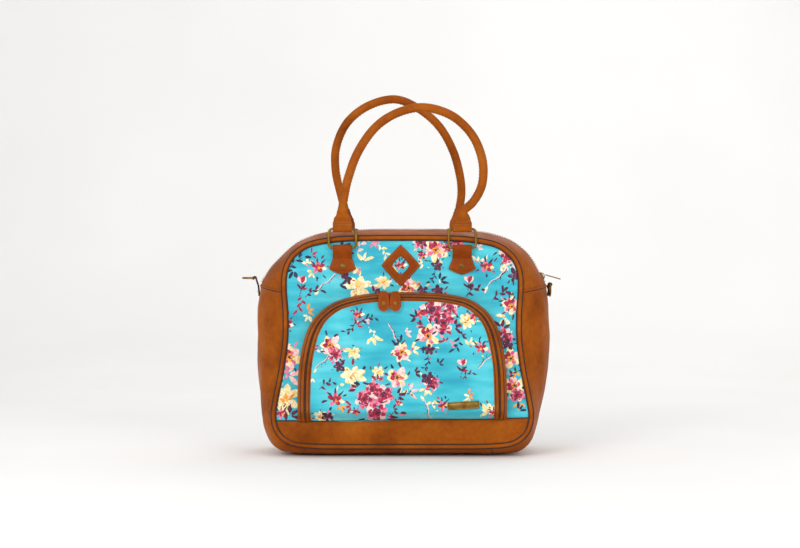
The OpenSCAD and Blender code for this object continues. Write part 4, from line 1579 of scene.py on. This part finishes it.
def pocket_strip(name, profile, material, wall=0.9):
    """A strip of the pocket's edge from (inset, share of the depth) points."""
    path, inward = pocket_line()
    grid = np.stack([pocket_points(path, inward, inset, share) for inset, share in profile], axis=1)
    piece = make_piece(name, grid.reshape(-1, 3), grid_faces(grid.shape[0], grid.shape[1]))
    away_from(piece, (0, -60, 90))
    piece.data.materials.append(bpy.data.materials[material])
    apply_modifier(piece, "SUBSURF", levels=1, render_levels=1)
    apply_modifier(piece, "SOLIDIFY", thickness=wall * MM, offset=-1)
    return piece


def pocket_bead(name, inset, share, radius, material):
    path, inward = pocket_line()
    line = pocket_points(path, inward, inset, share)
    piece = tube(name, line, radius, in_plane_normals(-inward), False, 8)
    piece.data.materials.append(bpy.data.materials[material])
    return piece


def pocket_teeth(name, inset, side):
    path, inward = pocket_line()
    line = pocket_points(path, inward, inset, 0.94)
    across = in_plane_normals(inward) * side
    if side < 0:
        # the half on the flap stops short of the hinge
        kept = line[:, 2] > BAND_TOP + 5
        line, across = line[kept], across[kept]
    lifts = np.tile([0, -1.0, 0], (len(line), 1))
    teeth = zip_teeth(name, line, across, lifts, sizes().coil_pitch / MM, 1.1, side)
    teeth.data.materials.append(bpy.data.materials["brown_nylon"])
    return teeth


def pocket_stitches(inset, share):
    path, inward = pocket_line()
    line = pocket_points(path, inward, inset, share)[2:-2]
    row = stitches("row", line, np.tile([0, -1.0, 0], (len(line), 1)))
    row.data.materials.append(bpy.data.materials["tan_thread"])
    return row


def puffed(piece, rim, pressure, limit):
    """Runs a cloth simulation with the sheet's rim held, and caps how far it moves.

    Measured on the pocket's sheet it moves no point, and why was not found. The sheet's
    swell comes only from the depth that it was made with.
    """
    count = len(piece.data.vertices)
    before = np.empty(count * 3)
    piece.data.vertices.foreach_get("co", before)
    group = piece.vertex_groups.new(name="rim")
    group.add(rim, 1.0, "REPLACE")
    cloth = piece.modifiers.new("Cloth", "CLOTH")
    cloth.settings.quality = 6
    cloth.settings.vertex_group_mass = "rim"
    cloth.settings.use_pressure = True
    cloth.settings.uniform_pressure_force = pressure
    cloth.settings.effector_weights.gravity = 0
    cloth.point_cache.frame_end = 20
    scene = bpy.context.scene
    for frame_number in range(1, 21):
        scene.frame_set(frame_number)
    bpy.ops.object.select_all(action="DESELECT")
    bpy.context.view_layer.objects.active = piece
    piece.select_set(True)
    bpy.ops.object.modifier_apply(modifier=cloth.name)
    scene.frame_set(1)
    piece.vertex_groups.clear()
    after = np.empty(count * 3)
    piece.data.vertices.foreach_get("co", after)
    before, after = before.reshape(-1, 3), after.reshape(-1, 3)
    moved = after - before
    far = np.linalg.norm(moved, axis=1, keepdims=True)
    moved *= np.minimum(1.0, limit * MM / np.maximum(far, 1e-9))
    piece.data.vertices.foreach_set("co", (before + moved).ravel())
    piece.data.update()
    return piece


class BAG_OT_pocket(StepOperator, bpy.types.Operator):
    """Makes the front pocket: its wall, edge strips, zip, puffed cloth and lining"""

    bl_idname = "bag.pocket"
    bl_label = "Front pocket"

    def execute(self, context):
        wall = pocket_strip("wall", [(0, -0.02), (0.2, 0.25), (0.8, 0.5), (1.9, 0.72), (3.3, 0.87),
                                     (4.9, 0.95)], "tan_leatherette")
        strip = pocket_strip("strip", [(5.0, 0.93), (5.4, 0.99), (6.6, 1.03), (8.2, 1.02),
                                       (9.3, 0.97), (9.6, 0.9)], "tan_leatherette")
        # the dark bead between the wall and the strip is painted shade in their crease
        parts = [wall, strip, pocket_bead("fold", 4.95, 0.97, 0.55, "dark_edge"),
                 pocket_stitches(8.3, 1.045)]
        edge = join("pocket_edge", parts)
        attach(edge, "bag_body")
        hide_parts("pocket_gusset")
        outer = join("pocket_zip_outer", [
            pocket_strip("tape", [(9.2, 0.9), (9.9, 0.915), (10.55, 0.915)], "brown_tape", 0.5),
            pocket_teeth("teeth", 10.4, 1)])
        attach(outer, "bag_body")
        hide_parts("pocket_coil_outer")
        inner = join("pocket_zip_inner", [
            pocket_strip("tape", [(10.75, 0.915), (11.5, 0.915), (12.2, 0.9)], "brown_tape", 0.5),
            pocket_teeth("teeth", 10.9, -1)])
        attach(inner, "pocket_flap")
        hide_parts("pocket_coil_inner")
        band = join("pocket_flap_strip", [
            pocket_strip("strip", [(11.7, 0.9), (12.0, 0.97), (13.1, 1.035), (14.6, 1.04),
                                   (15.7, 1.0), (16.1, 0.93)], "tan_leatherette"),
            # the dark bead here is painted shade in the crease between the strip and the tan bead
            pocket_bead("fold", 16.1, 0.985, 0.55, "dark_edge"),
            pocket_bead("bead", 17.1, 0.985, 0.85, "tan_leatherette"),
            pocket_stitches(12.9, 1.05)])
        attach(band, "pocket_flap")
        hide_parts("pocket_band")

        path, inward = pocket_line(2.0)
        rim_line = pocket_inset(path, inward, 17.2)
        rim_line = rim_line[[z > band_edge(x) + 0.6 for x, z in rim_line]]
        across = np.linspace(rim_line[-1][0], rim_line[0][0], 70)
        foot = np.array([[x, band_edge(x) + 0.4] for x in across])
        outline = np.concatenate([rim_line, foot[1:-1]])
        full = sizes().pocket_fullness / MM

        def depth(x, z):
            u, v = x / 120, (z - 128) / 82
            crown = max(0.0, 1 - u * u) * max(0.0, 1 - v * v)
            lumps = soft_noise(x, 3, z, 42, 2) + 0.4 * soft_noise(x, 9, z, 18, 6)
            return -(FACE_Y + pocket_depth(z) * 0.985 + full * 0.35 * crown + 0.8 * lumps * crown)

        cloth, rim = clipped_sheet("pocket_cloth", inside_test(outline), outline, 4.2, depth)
        away_from(cloth, (0, -60, 120))
        puffed(cloth, rim, 3.0, full)
        flat_y = -(FACE_Y + POCKET_FULL + 1.3)
        plate_x = (PLATE_LOW[0] + PLATE_HIGH[0]) / 2
        plate_z = (PLATE_LOW[2] + PLATE_HIGH[2]) / 2
        apply_modifier(cloth, "SUBSURF", levels=2, render_levels=2)
        for vertex in cloth.data.vertices:
            x, y, z = vertex.co / MM
            if abs(x - plate_x) < 22 and abs(z - plate_z) < 7 and y < flat_y + 0.3:
                vertex.co.y = (flat_y + 0.3) * MM
        lay_print(cloth, POCKET_MOTIFS)
        made_of(cloth, "printed_canvas")
        walled(cloth, 0.9, "beige_lining")
        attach(cloth, "pocket_flap")
        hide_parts("pocket_panel")

        plate = box_block("blank_plate", (-20.5, -0.6, -5), (20.5, 0.6, 5), 0.35, 2)
        bpy.ops.object.select_all(action="DESELECT")
        for face in plate.data.polygons:
            face.select = face.normal.y < -0.99
        plate.select_set(True)
        bpy.context.view_layer.objects.active = plate
        bpy.ops.object.mode_set(mode="EDIT")
        bpy.ops.mesh.select_mode(type="FACE")
        bpy.ops.mesh.inset(thickness=0.0006, depth=0)
        bpy.ops.mesh.inset(thickness=0.0003, depth=-0.0003)
        bpy.ops.mesh.inset(thickness=0.0004, depth=0)
        bpy.ops.mesh.inset(thickness=0.0003, depth=0.0003)
        bpy.ops.object.mode_set(mode="OBJECT")
        plate.data.transform(Matrix.Rotation(math.radians(-3.5), 4, "Y"))
        plate.data.transform(Matrix.Translation(Vector((plate_x, flat_y - 0.4, plate_z)) * MM))
        pins = [dome("pin", (plate_x + s * 18.2, flat_y - 1.1, plate_z + s * 1.1), 1.0, 0.6)
                for s in (-1, 1)]
        for part in [plate] + pins:
            part.data.materials.append(bpy.data.materials["aged_brass"])
        plate = join("blank_plate", [plate] + pins)
        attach(plate, "pocket_flap")
        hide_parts("metal_plate")
        return {"FINISHED"}


def leather_outline(name, outline, y_back, y_front, bevel=0.6):
    """A flat leather piece cut to an outline, with rounded edges."""
    points = [(x, y_back, z) for x, z in outline] + [(x, y_front, z) for x, z in outline]
    count = len(outline)
    faces = [tuple(range(count)), tuple(range(2 * count - 1, count - 1, -1))]
    for k in range(count):
        m = (k + 1) % count
        faces.append((k, k + count, m + count, m))
    piece = make_piece(name, points, faces, False)
    outward_faces(piece)
    apply_modifier(piece, "BEVEL", width=bevel * MM, segments=2, limit_method="ANGLE",
                   angle_limit=math.radians(60))
    piece.data.shade_smooth()
    apply_modifier(piece, "TRIANGULATE")
    bpy.ops.object.select_all(action="DESELECT")
    piece.select_set(True)
    bpy.context.view_layer.objects.active = piece
    bpy.ops.object.shade_smooth_by_angle(angle=math.radians(40))
    piece.select_set(False)
    return piece


class BAG_OT_patch(StepOperator, bpy.types.Operator):
    """Makes the diamond patch with its plain window"""

    bl_idname = "bag.patch"
    bl_label = "Diamond patch"

    def execute(self, context):
        centre = (PATCH_LOW + PATCH_HIGH) / 2
        half_x, half_z = 25.2, 27.2
        turns = np.linspace(0, 2 * math.pi, 97)[:-1]

        def ring(scale_x, scale_z, power):
            c, s = np.cos(turns), np.sin(turns)
            size = (np.abs(c) ** power + np.abs(s) ** power) ** (-1 / power)
            return np.stack([centre[0] + scale_x * c * size, centre[2] + scale_z * s * size], axis=1)

        steps = ((1.0, 0.15), (0.995, 0.9), (0.975, 1.45), (0.93, 1.7), (0.8, 1.75), (0.62, 1.75),
                 (0.5, 1.65), (0.455, 1.3), (0.44, 0.8), (0.435, 0.15))
        rows = []
        for share, lift in steps:
            line = ring(half_x * share, half_z * share, 1.07 if share > 0.7 else 1.25)
            rows.append([(x, face_depth(x, z) - lift, z) for x, z in line])
        grid = np.array(rows)
        patch = make_piece("patch", grid.reshape(-1, 3), grid_faces(len(steps), len(turns), False, True))
        away_from(patch, (0, 0, 249))
        patch.data.materials.append(bpy.data.materials["red_tan_leatherette"])
        sewn = ring(half_x - 2.6, half_z - 2.6, 1.07)
        line = np.array([(x, face_depth(x, z) - 1.75, z) for x, z in np.concatenate([sewn, sewn[:1]])])
        row = stitches("row", line, np.tile([0, -1.0, 0], (len(line), 1)), pitch=2.8, length=1.9)
        row.data.materials.append(bpy.data.materials["tan_thread"])
        whole = join("window_patch", [patch, row])
        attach(whole, "mouth_front")
        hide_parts("diamond_patch")
        return {"FINISHED"}


RING_X = 78.0
RING_Y = 81.5
RING_LOW = 272.0
RING_TOP = 296.5
FRONT_ROUTE = [
    (-78, 320), (-76, 337), (-70, 364), (-57, 398), (-34, 430), (-4, 449), (30, 455), (65, 444),
    (91, 419), (104, 387), (104, 356), (93, 333), (78, 320),
]
BACK_ROUTE = [
    (-78, 320), (-85, 346), (-92, 378), (-91, 411), (-76, 444), (-47, 467), (-10, 476), (23, 463),
    (51, 439), (70, 406), (80, 371), (82, 345), (78, 320),
]


class BAG_OT_tabs(StepOperator, bpy.types.Operator):
    """Makes the riveted leather tabs that hold the handle rings"""

    bl_idname = "bag.tabs"
    bl_label = "Handle tabs"

    def execute(self, context):
        widths = np.array([(237.0, 1.2), (239.3, 8.0), (241.5, 13.2), (244.0, 17.2), (245.5, 17.7),
                           (251.0, 15.4), (257.5, 12.9), (261.0, 12.6), (300.0, 12.5)])
        for side, face_name in ((-1, "front"), (1, "back")):
            for sign, name in ((-1, "left"), (1, "right")):
                x0 = sign * RING_X
                on = [(face_depth(x0, z, -1) - 1.5, z) for z in (237.2, 241, 246, 252, 258)]
                over = [(-RING_Y - 3.2 * math.cos(a), RING_LOW + 3.2 * math.sin(a))
                        for a in np.radians([0, 30, 60, 90, 120, 150, 180])]
                under = [(-RING_Y + 3.2, RING_LOW - 4), (face_depth(x0, 262, -1) - 0.5, 263)]
                profile = on + [(-80.2, 263), (-83.6, 268)] + over + under
                path, normals = strap_profile(profile, 5)
                path[:, 0] = x0
                section = []
                for k, p in enumerate(path):
                    half = float(np.interp(p[2], widths[:, 0], widths[:, 1]))
                    if k > len(on) * 5 + 5:
                        half = 12.5
                    section.append(strap_section(2.0, max(half, 1.2)))
                strap = swept("strap", path, np.array(section), normals, (1, 0, 0))
                strap.data.materials.append(bpy.data.materials["red_tan_leatherette"])
                edge_points = [(s * float(np.interp(z, widths[:, 0], widths[:, 1])) - s * 2.2, z)
                               for s, zs in ((1, np.linspace(262, 240.4, 26)),
                                             (-1, np.linspace(240.4, 262, 26))) for z in zs]
                line = np.array([(x0 + x, face_depth(x0, z, -1) - 2.6, z) for x, z in edge_points])
                row = stitches("row", line, np.tile([0, -1.0, 0], (len(line), 1)), 1.9, pitch=2.8)
                across = np.array([(x0 + x, face_depth(x0, 261, -1) - 2.75 - 0.9, 261.6)
                                   for x in np.linspace(-11.4, 11.4, 20)])
                bar = stitches("bar", across, np.tile([0, -1.0, 0], (len(across), 1)), 1.9, pitch=2.8)
                for part in (row, bar):
                    part.data.materials.append(bpy.data.materials["tan_thread"])
                # a dark tube of painted shade in the crease of the fold under the stitched bar
                groove_shade = tube("groove_shade", across + [0, 0.5, -1.8], 0.5,
                              np.tile([0, 0, 1.0], (len(across), 1)), False, 6)
                groove_shade.data.materials.append(bpy.data.materials["dark_edge"])
                tab = join(face_name + "_strap_" + name, [strap, row, bar, groove_shade])
                rivet = dome(face_name + "_stud_" + name, (x0, face_depth(x0, 248, -1) - 2.7, 248),
                             3.8, 2.0)
                made_of(rivet, "aged_brass")
                body = "mouth_" + face_name
                for piece, node in ((tab, "_tab_"), (rivet, "_rivet_")):
                    if side > 0:
                        piece.data.transform(Matrix.Scale(-1, 4, (0, 1, 0)))
                        piece.data.flip_normals()
                    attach(piece, body)
                    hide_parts(face_name + node + name)
        return {"FINISHED"}


def rounded_ring(width, height, corner):
    """Centre line of a ring with round corners, with its middle low bar at the origin."""
    points = []
    for cx, cz, start in ((width / 2 - corner, corner, -90), (width / 2 - corner, height - corner, 0),
                          (corner - width / 2, height - corner, 90), (corner - width / 2, corner, 180)):
        for a in np.radians(np.linspace(start, start + 90, 7)):
            points.append((cx + corner * math.cos(a), cz + corner * math.sin(a)))
    return np.array(points)


class BAG_OT_rings(StepOperator, bpy.types.Operator):
    """Makes the handle rings and the side D-rings from round wire"""

    bl_idname = "bag.rings"
    bl_label = "Rings"

    def execute(self, context):
        low, high = node_box("front_ring_left")
        wire = 3.5
        for side, face_name in ((-1, "front"), (1, "back")):
            for sign, name in ((-1, "left"), (1, "right")):
                line = evenly(rounded_ring(high[0] - low[0] - wire, high[2] - low[2] - wire, 5.2),
                              1.2, True)
                normals = in_plane_normals(outward(line, True))
                line = line + [sign * RING_X, RING_LOW]
                ring = tube(face_name + "_wire_" + name, in_plane(line, side * RING_Y), wire / 2,
                            normals, True, 16)
                made_of(ring, "aged_brass")
                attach(ring, "ring_" + face_name + "_" + name)
                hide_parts(face_name + "_ring_" + name)
        bow = [(10.5 * math.cos(a), 5 + 10.5 * math.sin(a)) for a in np.radians(np.linspace(0, 180, 25))]
        flat = np.array([(-10.5, 0), (-5, 0), (0, 0), (5, 0), (10.5, 0)] + bow)
        line = evenly(flat, 1.1, True)
        normals = outward(line, True)
        for sign, name in ((-1, "left"), (1, "right")):
            node_low, node_high = node_box("side_ring_" + name)
            if sign < 0:
                pivot = (node_high[0] - 1.25, (node_low[2] + node_high[2]) / 2)
                path = [(pivot[0] - up, across, pivot[1]) for across, up in line]
                lifts = [(-up, across, 0) for across, up in normals]
                axis = (0, 0, 1)
            else:
                pivot = ((node_low[0] + node_high[0]) / 2, node_high[2] - 1.25)
                path = [(pivot[0], across, pivot[1] - up) for across, up in line]
                lifts = [(0, across, -up) for across, up in normals]
                axis = (1, 0, 0)
            ring = tube("d_wire_" + name, path, 1.25, lifts, True, 14, axis)
            made_of(ring, "aged_brass")
            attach(ring, "side_ring_" + name + "_body")
            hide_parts("side_ring_" + name)
            tab_low, tab_high = node_box("side_tab_" + name)
            up = float(tab_high[2]) - 2.7
            inner = 194.6 + (1.7 if sign > 0 else -1.7)
            out = 198.7
            profile = [(inner - 0.6, tab_low[2] - 1), (inner + 0.4, (tab_low[2] + up) / 2),
                       (out - 3.2, up - 4)]
            profile += [(out - 2.05 * math.cos(a), up + 2.05 * math.sin(a))
                        for a in np.radians([20, 60, 100, 140, 180, 220, 250])]
            run = smooth_curve(profile, 5)
            flow = tangents(run)
            path = np.stack([sign * run[:, 0], np.zeros(len(run)), run[:, 1]], axis=1)
            lifts = np.stack([-sign * flow[:, 1], np.zeros(len(run)), flow[:, 0]], axis=1)
            strap = swept("strap", path, strap_section(1.2, 8.5), lifts, (0, 1, 0))
            strap.data.materials.append(bpy.data.materials["dark_edge"])
            height = tab_low[2] + 5
            across = np.array([(sign * (inner + 1.2), y, height) for y in np.linspace(-7, 7, 12)])
            bar = stitches("bar", across, np.tile([sign, 0, 0.0], (len(across), 1)), 1.9, pitch=2.8)
            bar.data.materials.append(bpy.data.materials["tan_thread"])
            tab = join("side_strap_" + name, [strap, bar])
            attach(tab, "bag_body")
            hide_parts("side_tab_" + name)
        return {"FINISHED"}


class BAG_OT_handles(StepOperator, bpy.types.Operator):
    """Makes the rolled handles and their ends folded round the rings"""

    bl_idname = "bag.handles"
    bl_label = "Handles"

    def execute(self, context):
        radius = sizes().handle_thickness / MM / 2
        for side, name, route in ((-1, "front", FRONT_ROUTE), (1, "back", BACK_ROUTE)):
            flat = evenly(smooth_curve(route, 12), 2.5)
            top = flat[:, 1].max()
            lean = 11 * ((flat[:, 1] - 320).clip(0) / (top - 320)) ** 1.5
            path = np.stack([flat[:, 0], side * (RING_Y - lean), flat[:, 1]], axis=1)
            runs = tangents(path)
            normals = np.cross([0, 1.0, 0], runs)
            normals /= np.linalg.norm(normals, axis=1, keepdims=True)
            turns = np.arange(20) * 2 * math.pi / 20
            sections = []
            for k, p in enumerate(path):
                ring = []
                for a in turns:
                    wrinkle = soft_noise(p[0] + 9 * math.cos(a), 9 * math.sin(a), p[2], 9, 3)
                    dent = soft_noise(p[0], 0, p[2], 34, 6)
                    r = radius * (0.985 + 0.018 * wrinkle + 0.02 * dent)
                    # the roll closes along its inner side with a shallow seam
                    r -= 0.55 * math.exp(-((math.sin(a / 2)) / 0.12) ** 2)
                    ring.append((r * math.cos(a), r * math.sin(a)))
                sections.append(ring)
            roll = swept("roll", path, np.array(sections), normals, (0, side, 0), False, True)
            roll.data.materials.append(bpy.data.materials["tan_leatherette"])
            seam_at = path + normals * (radius - 0.3)
            row = stitches("row", seam_at[4:-4], normals[4:-4], 2.2, 0.6, 0.35, 4.2)
            row.data.materials.append(bpy.data.materials["tan_thread"])
            handle = join(name + "_roll", [roll, row])
            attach(handle, "handle_" + name)
            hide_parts(name + "_handle")
            for sign, end_name, index in ((-1, "left", 0), (1, "right", -1)):
                x0, y0 = sign * RING_X, side * RING_Y
                run = runs[index] * (1 if index == 0 else -1)
                stations_up = [(301.0, 12.5, 4.15, 6), (304.0, 12.5, 3.9, 6), (308.5, 11.3, 4.3, 5),
                               (313.0, 9.3, 5.1, 3.4), (317.5, 7.4, 5.8, 2.6), (321.5, 6.55, 6.2, 2.1),
                               (325.0, 6.3, 6.15, 2)]
                heights = np.linspace(stations_up[0][0], stations_up[-1][0], 26)
                columns = [np.interp(heights, *np.array(stations_up).T[[0, k]]) for k in (1, 2, 3)]
                rows = []
                for z, wide, thick, power in zip(heights, *columns):
                    past = max(0.0, z - 320)
                    centre = np.array([x0, y0, z]) + np.array([run[0], run[1], 0]) * past
                    ring = []
                    for a in np.arange(28) * 2 * math.pi / 28:
                        c, s = math.cos(a), math.sin(a)
                        size = (abs(c) ** power + abs(s) ** power) ** (-1 / power)
                        # gathered folds where the strap narrows into the roll
                        gather = soft_noise(x0 + 2 * c, side * 40 + 2 * s, z * 1.7, 5.5, 2)
                        gather += 0.5 * soft_noise(wide * c, thick * s + x0, z, 3, 4)
                        size *= 1 + 0.09 * gather * smoothstep(z, 305, 309)
                        ring.append(centre + [wide * c * size, thick * s * size, 0])
                    rows.append(ring)
                grid = np.array(rows)
                faces = grid_faces(len(rows), 28, False, True)
                faces.append(tuple(range(28))[::-1])
                faces.append(tuple(len(rows) * 28 - 28 + k for k in range(28)))
                taper = make_piece("taper", grid.reshape(-1, 3), faces)
                outward_faces(taper)
                profile = [(-3.15, 303)] + [
                    (-3.15 * math.cos(a), RING_TOP - 3.15 * math.sin(a))
                    for a in np.radians(np.linspace(0, 180, 9))] + [(3.15, 303)]
                loop, lifts = strap_profile(profile, 4)
                loop[:, 0] = x0
                loop[:, 1] += y0
                fold = swept("fold", loop, strap_section(1.9, 12.5), lifts, (1, 0, 0))
                fold.data.shade_smooth()
                for part in (taper, fold):
                    part.data.materials.append(bpy.data.materials["tan_leatherette"])
                lines = []
                for z, wide in ((302.2, 10.8), (305.4, 10.4)):
                    for face in (-1, 1):
                        across = np.array([(x0 + x, y0 + face * (4.15 if z < 303 else 4.05), z)
                                           for x in np.linspace(-wide, wide, 14)])
                        row = stitches("row", across, np.tile([0, face, 0.0], (14, 1)), 1.9, pitch=2.8)
                        row.data.materials.append(bpy.data.materials["tan_thread"])
                        lines.append(row)
                end = join(name + "_handle_fold_" + end_name, [taper, fold] + lines)
                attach(end, "handle_" + name)
                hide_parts(name + "_handle_end_" + end_name)
        return {"FINISHED"}


class BAG_OT_sliders(StepOperator, bpy.types.Operator):
    """Makes the zip sliders with their leather and metal pulls"""

    bl_idname = "bag.sliders"
    bl_label = "Sliders and pulls"

    def execute(self, context):
        for name in ("left", "right"):
            low, high = node_box("pocket_slider_" + name)
            x0 = (low[0] + high[0]) / 2
            body = box_block("body", (x0 - 4.6, low[1] + 1.7, low[2]),
                             (x0 + 4.6, low[1] + 5.1, low[2] + 9.4), 1.2, 4)
            waist = box_block("waist", (x0 - 3.4, low[1] + 1.2, low[2] + 1.2),
                              (x0 + 3.4, low[1] + 2.4, low[2] + 7.8), 0.5, 2)
            arch = [(low[1] + 1.8, low[2] + 4.2), (low[1] + 0.7, low[2] + 5.6),
                    (low[1] + 0.5, low[2] + 8), (low[1] + 0.7, low[2] + 10.6),
                    (low[1] + 2.0, low[2] + 11.3)]
            path, lifts = strap_profile(arch, 6)
            path[:, 0] = x0
            bridge = swept("bridge", path, strap_section(0.9, 1.8), lifts, (1, 0, 0))
            for part in (body, waist, bridge):
                part.data.materials.append(bpy.data.materials["aged_brass"])
            slider = join("pocket_runner_" + name, [body, waist, bridge])
            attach(slider, "pocket_slider_" + name + "_body")
            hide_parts("pocket_slider_" + name)
            low, high = node_box("pocket_pull_" + name)
            outline = [(7.25 * math.sin(a), 197.4 - 7.25 * math.cos(a))
                       for a in np.radians(np.linspace(-90, 90, 25))]
            outline += [(7.3, 203), (7.1, 208), (6.2, 210.6), (4.9, 212.4), (4.3, 214.4), (3.9, 216)]
            outline += [(-x, z) for x, z in outline[:-7:-1]]
            outline = np.array(outline) + [x0, 0]
            tongue = leather_outline("tongue", outline, high[1] - 0.1, low[1] + 0.2)
            tongue.data.materials.append(bpy.data.materials["red_tan_leatherette"])
            inner = np.array([[x0 + (x - x0) * 0.76, 199.5 + (z - 199.5) * 0.8] for x, z in outline])
            line = in_plane(np.concatenate([inner, inner[:1]]), low[1] + 0.25)
            row = stitches("row", line, np.tile([0, -1.0, 0], (len(line), 1)), 1.4, 0.5, 0.3, 2.1)
            row.data.materials.append(bpy.data.materials["tan_thread"])
            pull = join("pocket_tongue_" + name, [tongue, row])
            stud = dome("pocket_stud_" + name, (x0, low[1] + 0.3, 200.5), 2.7, 1.7)
            made_of(stud, "aged_brass")
            for piece, node in ((pull, "pocket_pull_"), (stud, "pocket_rivet_")):
                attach(piece, "pocket_pull_" + name + "_body")
                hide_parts(node + name)
        # top slider, made along its own axes: out from the zip, across it and along it
        angle = math.radians(24)
        out = Vector((math.cos(angle), 0, math.sin(angle)))
        along = Vector((-math.sin(angle), 0, math.cos(angle)))
        frame_matrix = Matrix((
            (out.x, 0, along.x, (89.5 + 105.5 * out.x) * MM), (0, 1, 0, 0),
            (out.z, 0, along.z, (190 + 105.5 * out.z) * MM), (0, 0, 0, 1)))
        body = box_block("body", (0, -4.9, -5.4), (3.4, 4.9, 5.4), 1.2, 4)
        crown = box_block("crown", (3.0, -3.2, -4.0), (3.9, 3.2, 4.0), 0.4, 2)
        arch = smooth_curve([(3.4, -3.6), (4.9, -3.0), (5.4, 0), (4.9, 3.0), (3.4, 3.6)], 6)
        flow = tangents(arch)
        path = np.stack([arch[:, 0], np.zeros(len(arch)), arch[:, 1]], axis=1)
        lifts = np.stack([flow[:, 1], np.zeros(len(arch)), -flow[:, 0]], axis=1)
        bridge = swept("bridge", path, strap_section(0.9, 1.6), lifts, (0, 1, 0))
        for part in (body, crown, bridge):
            part.data.materials.append(bpy.data.materials["aged_brass"])
        slider = join("top_runner", [body, crown, bridge])
        slider.data.transform(frame_matrix)
        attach(slider, "main_slider_body")
        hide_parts("main_slider")
        turns = np.linspace(0, 2 * math.pi, 41)[:-1]
        rows = []
        for share, lift in ((1.0, -0.3), (1.0, 0.3), (0.94, 0.65), (0.8, 0.78), (0.62, 0.65), (0.56, 0.3),
                            (0.56, -0.3), (0.62, -0.65), (0.8, -0.78), (0.94, -0.65)):
            row = []
            for a in turns:
                c, s = math.cos(a), math.sin(a)
                wide = 3.5 + 0.5 * c
                inner = np.array([14.5 + 6.2 * c, 1.9 * s])
                outer = np.array([11.0 + 11.0 * np.sign(c) * abs(c) ** 0.8, wide * s])
                x, y = inner + (outer - inner) * (share - 0.56) / 0.44
                row.append((x, y, lift))
            rows.append(row)
        grid = np.array(rows)
        pull = make_piece("top_pull", grid.reshape(-1, 3), grid_faces(len(rows), len(turns), True, True))
        outward_faces(pull)
        dip = math.radians(16)
        pull.data.transform(Matrix.Rotation(dip, 4, "Y"))
        start = Vector((89.5, 0, 190)) + out * 112
        pull.data.transform(Matrix.Translation(start * MM))
        made_of(pull, "aged_brass")
        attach(pull, "main_pull_body")
        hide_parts("main_pull")
        return {"FINISHED"}


STEPS = (
    BAG_OT_materials, BAG_OT_stage, BAG_OT_gusset, BAG_OT_zip_strips, BAG_OT_main_zip,
    BAG_OT_faces, BAG_OT_piping, BAG_OT_base_bands, BAG_OT_lining, BAG_OT_inside, BAG_OT_pocket,
    BAG_OT_patch, BAG_OT_tabs, BAG_OT_rings, BAG_OT_handles, BAG_OT_sliders,
)


class BAG_PT_panel(bpy.types.Panel):
    """The bag's sizes, colours and steps"""

    bl_idname = "BAG_PT_panel"
    bl_label = "Diaper bag"
    bl_space_type = "VIEW_3D"
    bl_region_type = "UI"
    bl_category = "Bag"

    def draw(self, context):
        for group in (context.scene.bag_sizes, context.scene.bag_colours):
            box = self.layout.box()
            for key in group.bl_rna.properties.keys():
                if key not in ("rna_type", "name"):
                    box.prop(group, key)
        for step in STEPS:
            self.layout.operator(step.bl_idname)


CLASSES = (BagSizes, BagColours, *STEPS, BAG_PT_panel)


def register():
    for cls in CLASSES:
        bpy.utils.register_class(cls)
    bpy.types.Scene.bag_sizes = bpy.props.PointerProperty(type=BagSizes)
    bpy.types.Scene.bag_colours = bpy.props.PointerProperty(type=BagColours)


def unregister():
    del bpy.types.Scene.bag_sizes
    del bpy.types.Scene.bag_colours
    for cls in reversed(CLASSES):
        bpy.utils.unregister_class(cls)


def main():
    register()
    for step in STEPS:
        group, name = step.bl_idname.split(".")
        getattr(getattr(bpy.ops, group), name)()
    bpy.context.view_layer.update()


if __name__ == "__main__":
    main()
